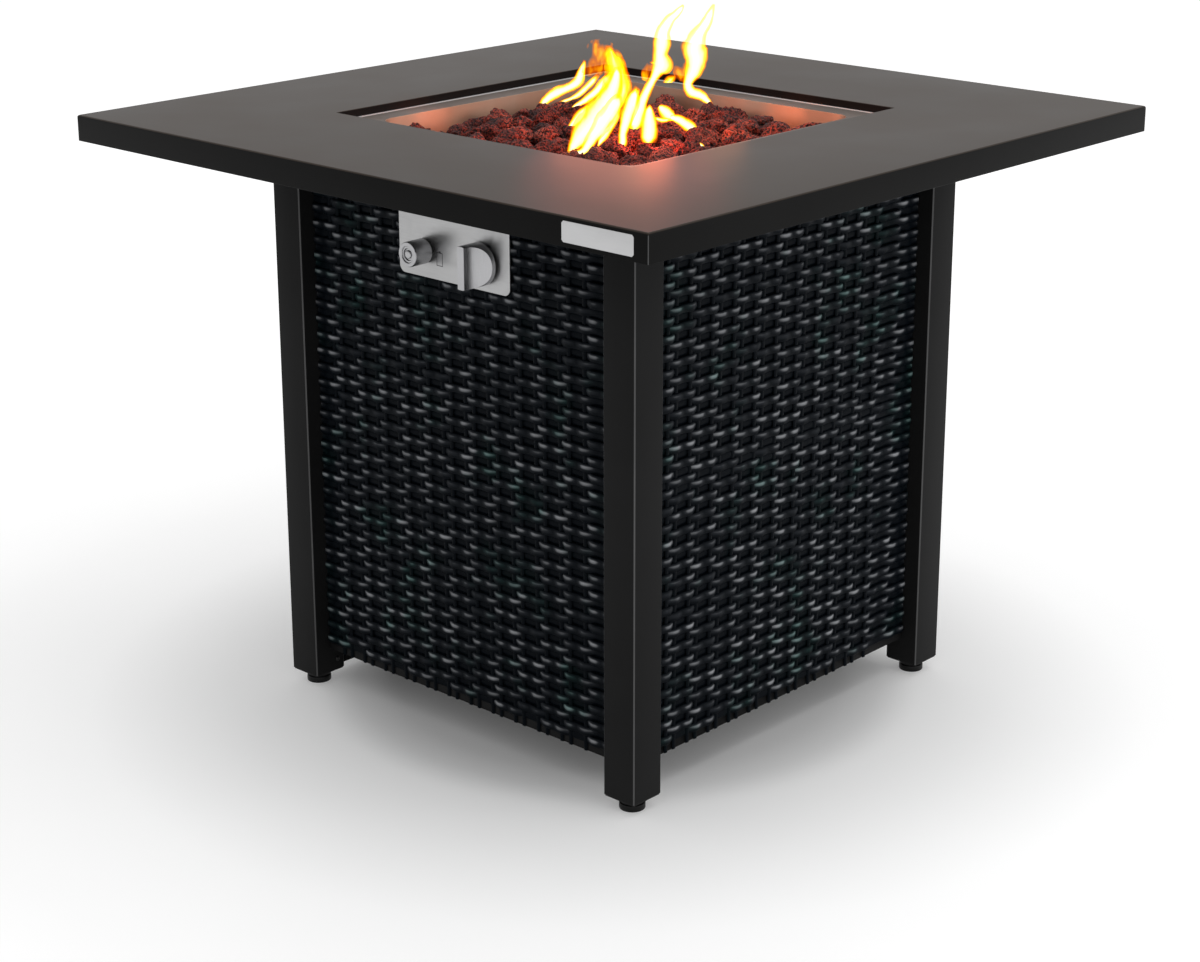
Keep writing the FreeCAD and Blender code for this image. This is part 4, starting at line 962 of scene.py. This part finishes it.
def flame_material():
    """Light that adds to what is behind: white inside, then yellow, orange and nothing at the edge."""
    made = bpy.data.materials.new("flame")
    made.use_nodes = True
    made.node_tree.nodes.clear()
    edge = add(made, "Attribute", attribute_name="edge").outputs["Fac"]
    ripple = ranged(made, grain(made, 75, (1, 1, 0.5), 2.0), -0.2, 0.2)
    place = add(made, "Math", {0: edge, 1: times(made, ripple, edge)}, operation="ADD").outputs[0]
    glow = ramp(made, place, [
        (0.0, (1.0, 0.97, 0.75)), (0.4, (1.0, 0.95, 0.45)), (0.56, (1.0, 0.85, 0.03)),
        (0.72, (1.0, 0.42, 0.0)), (0.86, (0.45, 0.06, 0.0)), (0.98, (0.0, 0.0, 0.0)),
    ])
    behind = ramp(made, place, [
        (0.0, (0.8, 0.8, 0.6)), (0.6, (0.94, 0.95, 0.45)), (0.86, (0.9, 0.88, 0.3)),
        (0.98, (1.0, 1.0, 1.0)),
    ])
    light = add(made, "Emission", {"Color": glow, "Strength": FLAME_STRENGTH}).outputs[0]
    clear = add(made, "BsdfTransparent", {"Color": behind}).outputs[0]
    both = add(made, "AddShader", {0: clear, 1: light}).outputs[0]
    add(made, "OutputMaterial", {"Surface": both})
    return made


def smoothed(knots, count):
    """More points on a smooth line through knots."""
    whole = np.concatenate([[2 * knots[0] - knots[1]], knots, [2 * knots[-1] - knots[-2]]])
    out = []
    for place in np.linspace(0, len(knots) - 1, count):
        index = min(int(place), len(knots) - 2)
        share = place - index
        a, b, c, d = whole[index:index + 4]
        bend = 2 * a - 5 * b + 4 * c - d
        twist = 3 * b - a - 3 * c + d
        out.append(0.5 * (2 * b + (c - a) * share + bend * share ** 2 + twist * share ** 3))
    return np.array(out)


def flame_line(foot, knots):
    """A flame's middle in its upright plane, as (across, up, half width) in metres, and that plane."""
    towards = Vector((CAMERA_BACK.x, CAMERA_BACK.y, 0)).normalized()
    across = Vector((-towards.y, towards.x, 0))
    ray = photo_ray(*foot)
    stand = CAMERA_PLACE + ray * ((ROCK_LEVEL - CAMERA_PLACE.z) / ray.z)
    pixel = SENSOR_MM / PHOTO_SIZE[0]
    line = []
    for x, y, wide in knots:
        ray = photo_ray(x, y)
        steps = (stand - CAMERA_PLACE).dot(towards) / ray.dot(towards)
        place = CAMERA_PLACE + ray * steps
        line.append((place.dot(across), place.z, 0.5 * FLAME_HALO * wide * steps * pixel))
    return np.array(line), across, towards, stand.dot(towards)


def flames():
    """Bowed sheets that stand on the rocks and look towards the photograph's camera."""
    material = flame_material()
    for name, cool, foot, knots in FLAMES:
        middle, across, towards, depth = flame_line(foot, knots)
        line = smoothed(middle, FLAME_ALONG * (len(knots) - 1) + 1)
        points = []
        edges = []
        for index, (s, z, half) in enumerate(line):
            before = line[max(index - 1, 0)]
            after = line[min(index + 1, len(line) - 1)]
            way = Vector((after[0] - before[0], after[1] - before[1])).normalized()
            tip = min((len(line) - 1 - index) / TIP_POINTS, 1.0)
            root = ROOT_SHARE + (1 - ROOT_SHARE) * min(index / ROOT_POINTS, 1.0)
            half = max(half, FLAME_LEAST)
            for step in range(FLAME_ACROSS):
                u = 2 * step / (FLAME_ACROSS - 1) - 1
                bow = depth + FLAME_BOW * half * (1 - u * u)
                place = across * (s + u * half * way.y) + towards * bow
                points.append((place.x / MM, place.y / MM, (z - u * half * way.x) / MM))
                edges.append(1 - (1 - abs(u)) * tip * root * (1 - cool))
        faces = []
        for row in range(len(line) - 1):
            for step in range(FLAME_ACROSS - 1):
                here = row * FLAME_ACROSS + step
                faces.append((here, here + 1, here + FLAME_ACROSS + 1, here + FLAME_ACROSS))
        piece = from_points("flame_" + name, points, faces)
        attribute = piece.data.attributes.new("edge", "FLOAT", "POINT")
        attribute.data.foreach_set("value", edges)
        piece.data.materials.append(material)
        piece.visible_shadow = False
        piece.visible_diffuse = False
        piece.visible_glossy = False


# Stage

CAMERA_RIGHT = Vector((0.738943, 0.673767, -0.0000206))
CAMERA_UP = Vector((-0.201102, 0.220584, 0.954411))
CAMERA_BACK = Vector((0.643056, -0.705252, 0.298495))
CAMERA_PLACE = Vector((1.73436, -1.90511, 1.1204))
CAMERA_SHIFT = (-0.01236, -0.0605)
SENSOR_MM = 36.0
LENS_MM = 73.82


def camera():
    """The photograph's camera."""
    data = bpy.data.cameras.new("camera")
    data.sensor_width = SENSOR_MM
    data.lens = LENS_MM
    data.shift_x, data.shift_y = CAMERA_SHIFT
    data.clip_start = 0.1
    data.clip_end = 60.0
    made = bpy.data.objects.new("camera", data)
    bpy.context.scene.collection.objects.link(made)
    columns = zip(CAMERA_RIGHT, CAMERA_UP, CAMERA_BACK, CAMERA_PLACE)
    made.matrix_world = Matrix([*columns, (0, 0, 0, 1)])
    bpy.context.scene.camera = made


def larger(material, one, other):
    return add(material, "Math", {0: one, 1: other}, operation="MAXIMUM").outputs[0]


def seen_directly(material):
    """1 for rays from the camera, from a mirror or through glass, else 0."""
    path = add(material, "LightPath")
    first = larger(material, path.outputs["Is Camera Ray"], path.outputs["Is Glossy Ray"])
    return larger(material, first, path.outputs["Is Transmission Ray"])


WORLD_LIGHT = 0.5
FLOOR_COLOR = 0.8
FLOOR_SIZE = 14000
FLOOR_CELLS = 40
# How much paler than lit the floor is seen, by its distance from the table's middle as a share of
# this reach in metres. This painted light is weak near the table, which leaves a painted shadow
# round its base, and stronger further out.
FLOOR_REACH = 2.5
FLOOR_LIFT = [
    (0.1, 0.05), (0.118, 0.12), (0.135, 0.26), (0.17, 0.29), (0.235, 0.38), (0.3, 0.36), (0.9, 0.6),
]


def world():
    """White to look at, and a softer white light from all round."""
    made = bpy.data.worlds.new("studio")
    made.use_nodes = True
    made.node_tree.nodes.clear()
    strength = ranged(made, seen_directly(made), WORLD_LIGHT, 1.0, 0.0, 1.0)
    light = add(made, "Background", {"Color": (1, 1, 1, 1), "Strength": strength}).outputs[0]
    add(made, "OutputWorld", {"Surface": light})
    bpy.context.scene.world = made


def floor():
    """A pale floor that keeps the cast shadow, with painted light that is weak near the table, as a
    painted shadow round its base, and fades it to white further away.
    """
    shape = bmesh.new()
    bmesh.ops.create_grid(shape, x_segments=FLOOR_CELLS, y_segments=FLOOR_CELLS, size=FLOOR_SIZE)
    piece = from_bmesh("floor", shape, smooth=False)
    made = surface("pale_floor", (FLOOR_COLOR,) * 3, 0.9, specular=0.1)
    shade(made, grain(made, 3), [(0.3, (FLOOR_COLOR * 0.99,) * 3), (0.7, (FLOOR_COLOR * 1.01,) * 3)])
    place = add(made, "TexCoord").outputs["Object"]
    distance = add(made, "VectorMath", {0: place}, operation="LENGTH").outputs["Value"]
    share = ranged(made, distance, 0.0, 1.0, 0.0, FLOOR_REACH)
    # Painted light for direct and mirror rays, weak near the table as a painted shadow round its base.
    lift = ramp(made, share, [(at, (amount,) * 3) for at, amount in FLOOR_LIFT])
    shader_of(made).inputs["Emission Color"].default_value = (1, 1, 1, 1)
    feed(made, "Emission Strength", times(made, lift, seen_directly(made)))
    piece.data.materials.append(made)


def lamp(name, kind, place, power, color, target=None):
    """The data of a new lamp, which is turned to its target if it has one."""
    data = bpy.data.lights.new(name, kind)
    data.energy = power
    data.color = color
    made = bpy.data.objects.new(name, data)
    bpy.context.scene.collection.objects.link(made)
    made.location = place
    if target:
        made.rotation_mode = "QUATERNION"
        made.rotation_quaternion = (Vector(target) - Vector(place)).to_track_quat("-Z", "Y")
    return data


def soft_box(name, place, target, size, power):
    data = lamp(name, "AREA", place, power, (1, 1, 1), target)
    data.shape = "SQUARE"
    data.size = size


def flame_light(name, place, power, radius, color):
    lamp(name, "POINT", place, power, color).shadow_soft_size = radius


GLOW_COLOR = (1.0, 0.17, 0.025)
GLOW_DEGREES = 46
GLOW_RADIUS = 0.01


def wall_glow(name, place, target, power):
    """The flames' light on a part of the pan's wall."""
    data = lamp(name, "SPOT", place, power, GLOW_COLOR, target)
    data.spot_size = math.radians(GLOW_DEGREES)
    data.spot_blend = 1.0
    data.shadow_soft_size = GLOW_RADIUS


def lights():
    """Two soft boxes, and the light of the flames."""
    soft_box("overhead", (0.3, 0.2, 3.2), (0, 0, 0.4), 2.6, 46)
    soft_box("side", (2.6, 0.9, 1.0), (0, 0, 0.3), 1.6, 13)
    flame_light("flame_glow_front", (0.04, -0.06, 0.665), 0.34, 0.06, (1.0, 0.24, 0.1))
    flame_light("ember_glow", (0.1, -0.05, 0.65), 0.22, 0.02, (1.0, 0.12, 0.05))
    flame_light("flame_glow_back", (0.0, 0.05, 0.68), 0.14, 0.03, (1.0, 0.42, 0.2))
    flame_light("flame_glow_right", (0.1, 0.05, 0.652), 0.1, 0.03, (1.0, 0.32, 0.1))
    flame_light("rim_glow", (0.07, -0.07, 0.7), 0.42, 0.11, (1.0, 0.15, 0.11))
    wall_glow("wall_glow_left", (-0.1, -0.1, 0.664), (-0.19, -0.1, 0.622), 0.4)
    wall_glow("wall_glow_middle", (0.01, 0.1, 0.664), (0.01, 0.19, 0.622), 0.14)
    wall_glow("wall_glow_right", (0.085, 0.1, 0.664), (0.085, 0.19, 0.622), 0.42)


# The whole scene

# The rounding of the edges, and its segments where they aren't the usual three.
SHEET_EDGE = 0.8
BADGE_EDGE = 0.25
KNOB_EDGE = 0.7
KNOB_SEGMENTS = 4
PLATE_EDGE = 0.3
PULL_EDGE = 0.6
LEG_EDGE = 0.55
LEG_SEGMENTS = 2
# A face of the top is on its skirt if its normal rises less than the first, and is upright if the
# normal rises or falls less than the second.
SKIRT_RISE = 0.5
UPRIGHT_RISE = 0.3


def table_top(edge_highlight_paint):
    """The top in its paint, with its skirt painted darker as painted shade and its upright corners paler
    as a painted highlight.
    """
    # Painted shade: the sides, which face away from the overhead light, get a darker copy of the paint.
    shaded_skirt_paint = powder_coat("shaded_skirt_paint", (0.0085, 0.0084, 0.0083), 0.45, 0.04)
    top = softened("table_top", SHEET_EDGE)
    other_look(top, shaded_skirt_paint, lambda normal: normal.z < SKIRT_RISE)
    # Painted highlight on the upright corner faces.
    other_look(top, edge_highlight_paint, lambda normal: abs(normal.z) < UPRIGHT_RISE and corner_facing(normal))


def build():
    """The stage, then every piece of the table, then the flames."""
    camera()
    world()
    floor()
    lights()
    dress_nodes()
    panels()
    rock_pile()
    # Painted highlight: a paler, glossier paint on the rounded upright corners of the top and the legs.
    edge_highlight_paint = powder_coat("edge_highlight_paint", (0.1, 0.1, 0.101), 0.32, 0.25)
    table_top(edge_highlight_paint)
    softened("badge_plate", BADGE_EDGE)
    softened("control_knob", KNOB_EDGE, KNOB_SEGMENTS)
    softened("control_plate", PLATE_EDGE)
    softened("door_knob", PULL_EDGE)
    pan()
    feet()
    for corner in ("front_left", "front_right", "back_left", "back_right"):
        leg = softened("leg_" + corner, LEG_EDGE, LEG_SEGMENTS)
        # Painted highlight on the legs' rounded corners.
        other_look(leg, edge_highlight_paint, corner_facing)
    for side in ("front", "right", "back", "left"):
        softened("upper_rail_" + side, SHEET_EDGE)
    for side in ("front", "right", "back", "door"):
        softened(side + "_frame", SHEET_EDGE)
    softened("door_sill", SHEET_EDGE)
    igniter()
    plate_marks()
    screws()
    flames()
    bpy.context.scene.view_settings.view_transform = "Standard"


build()
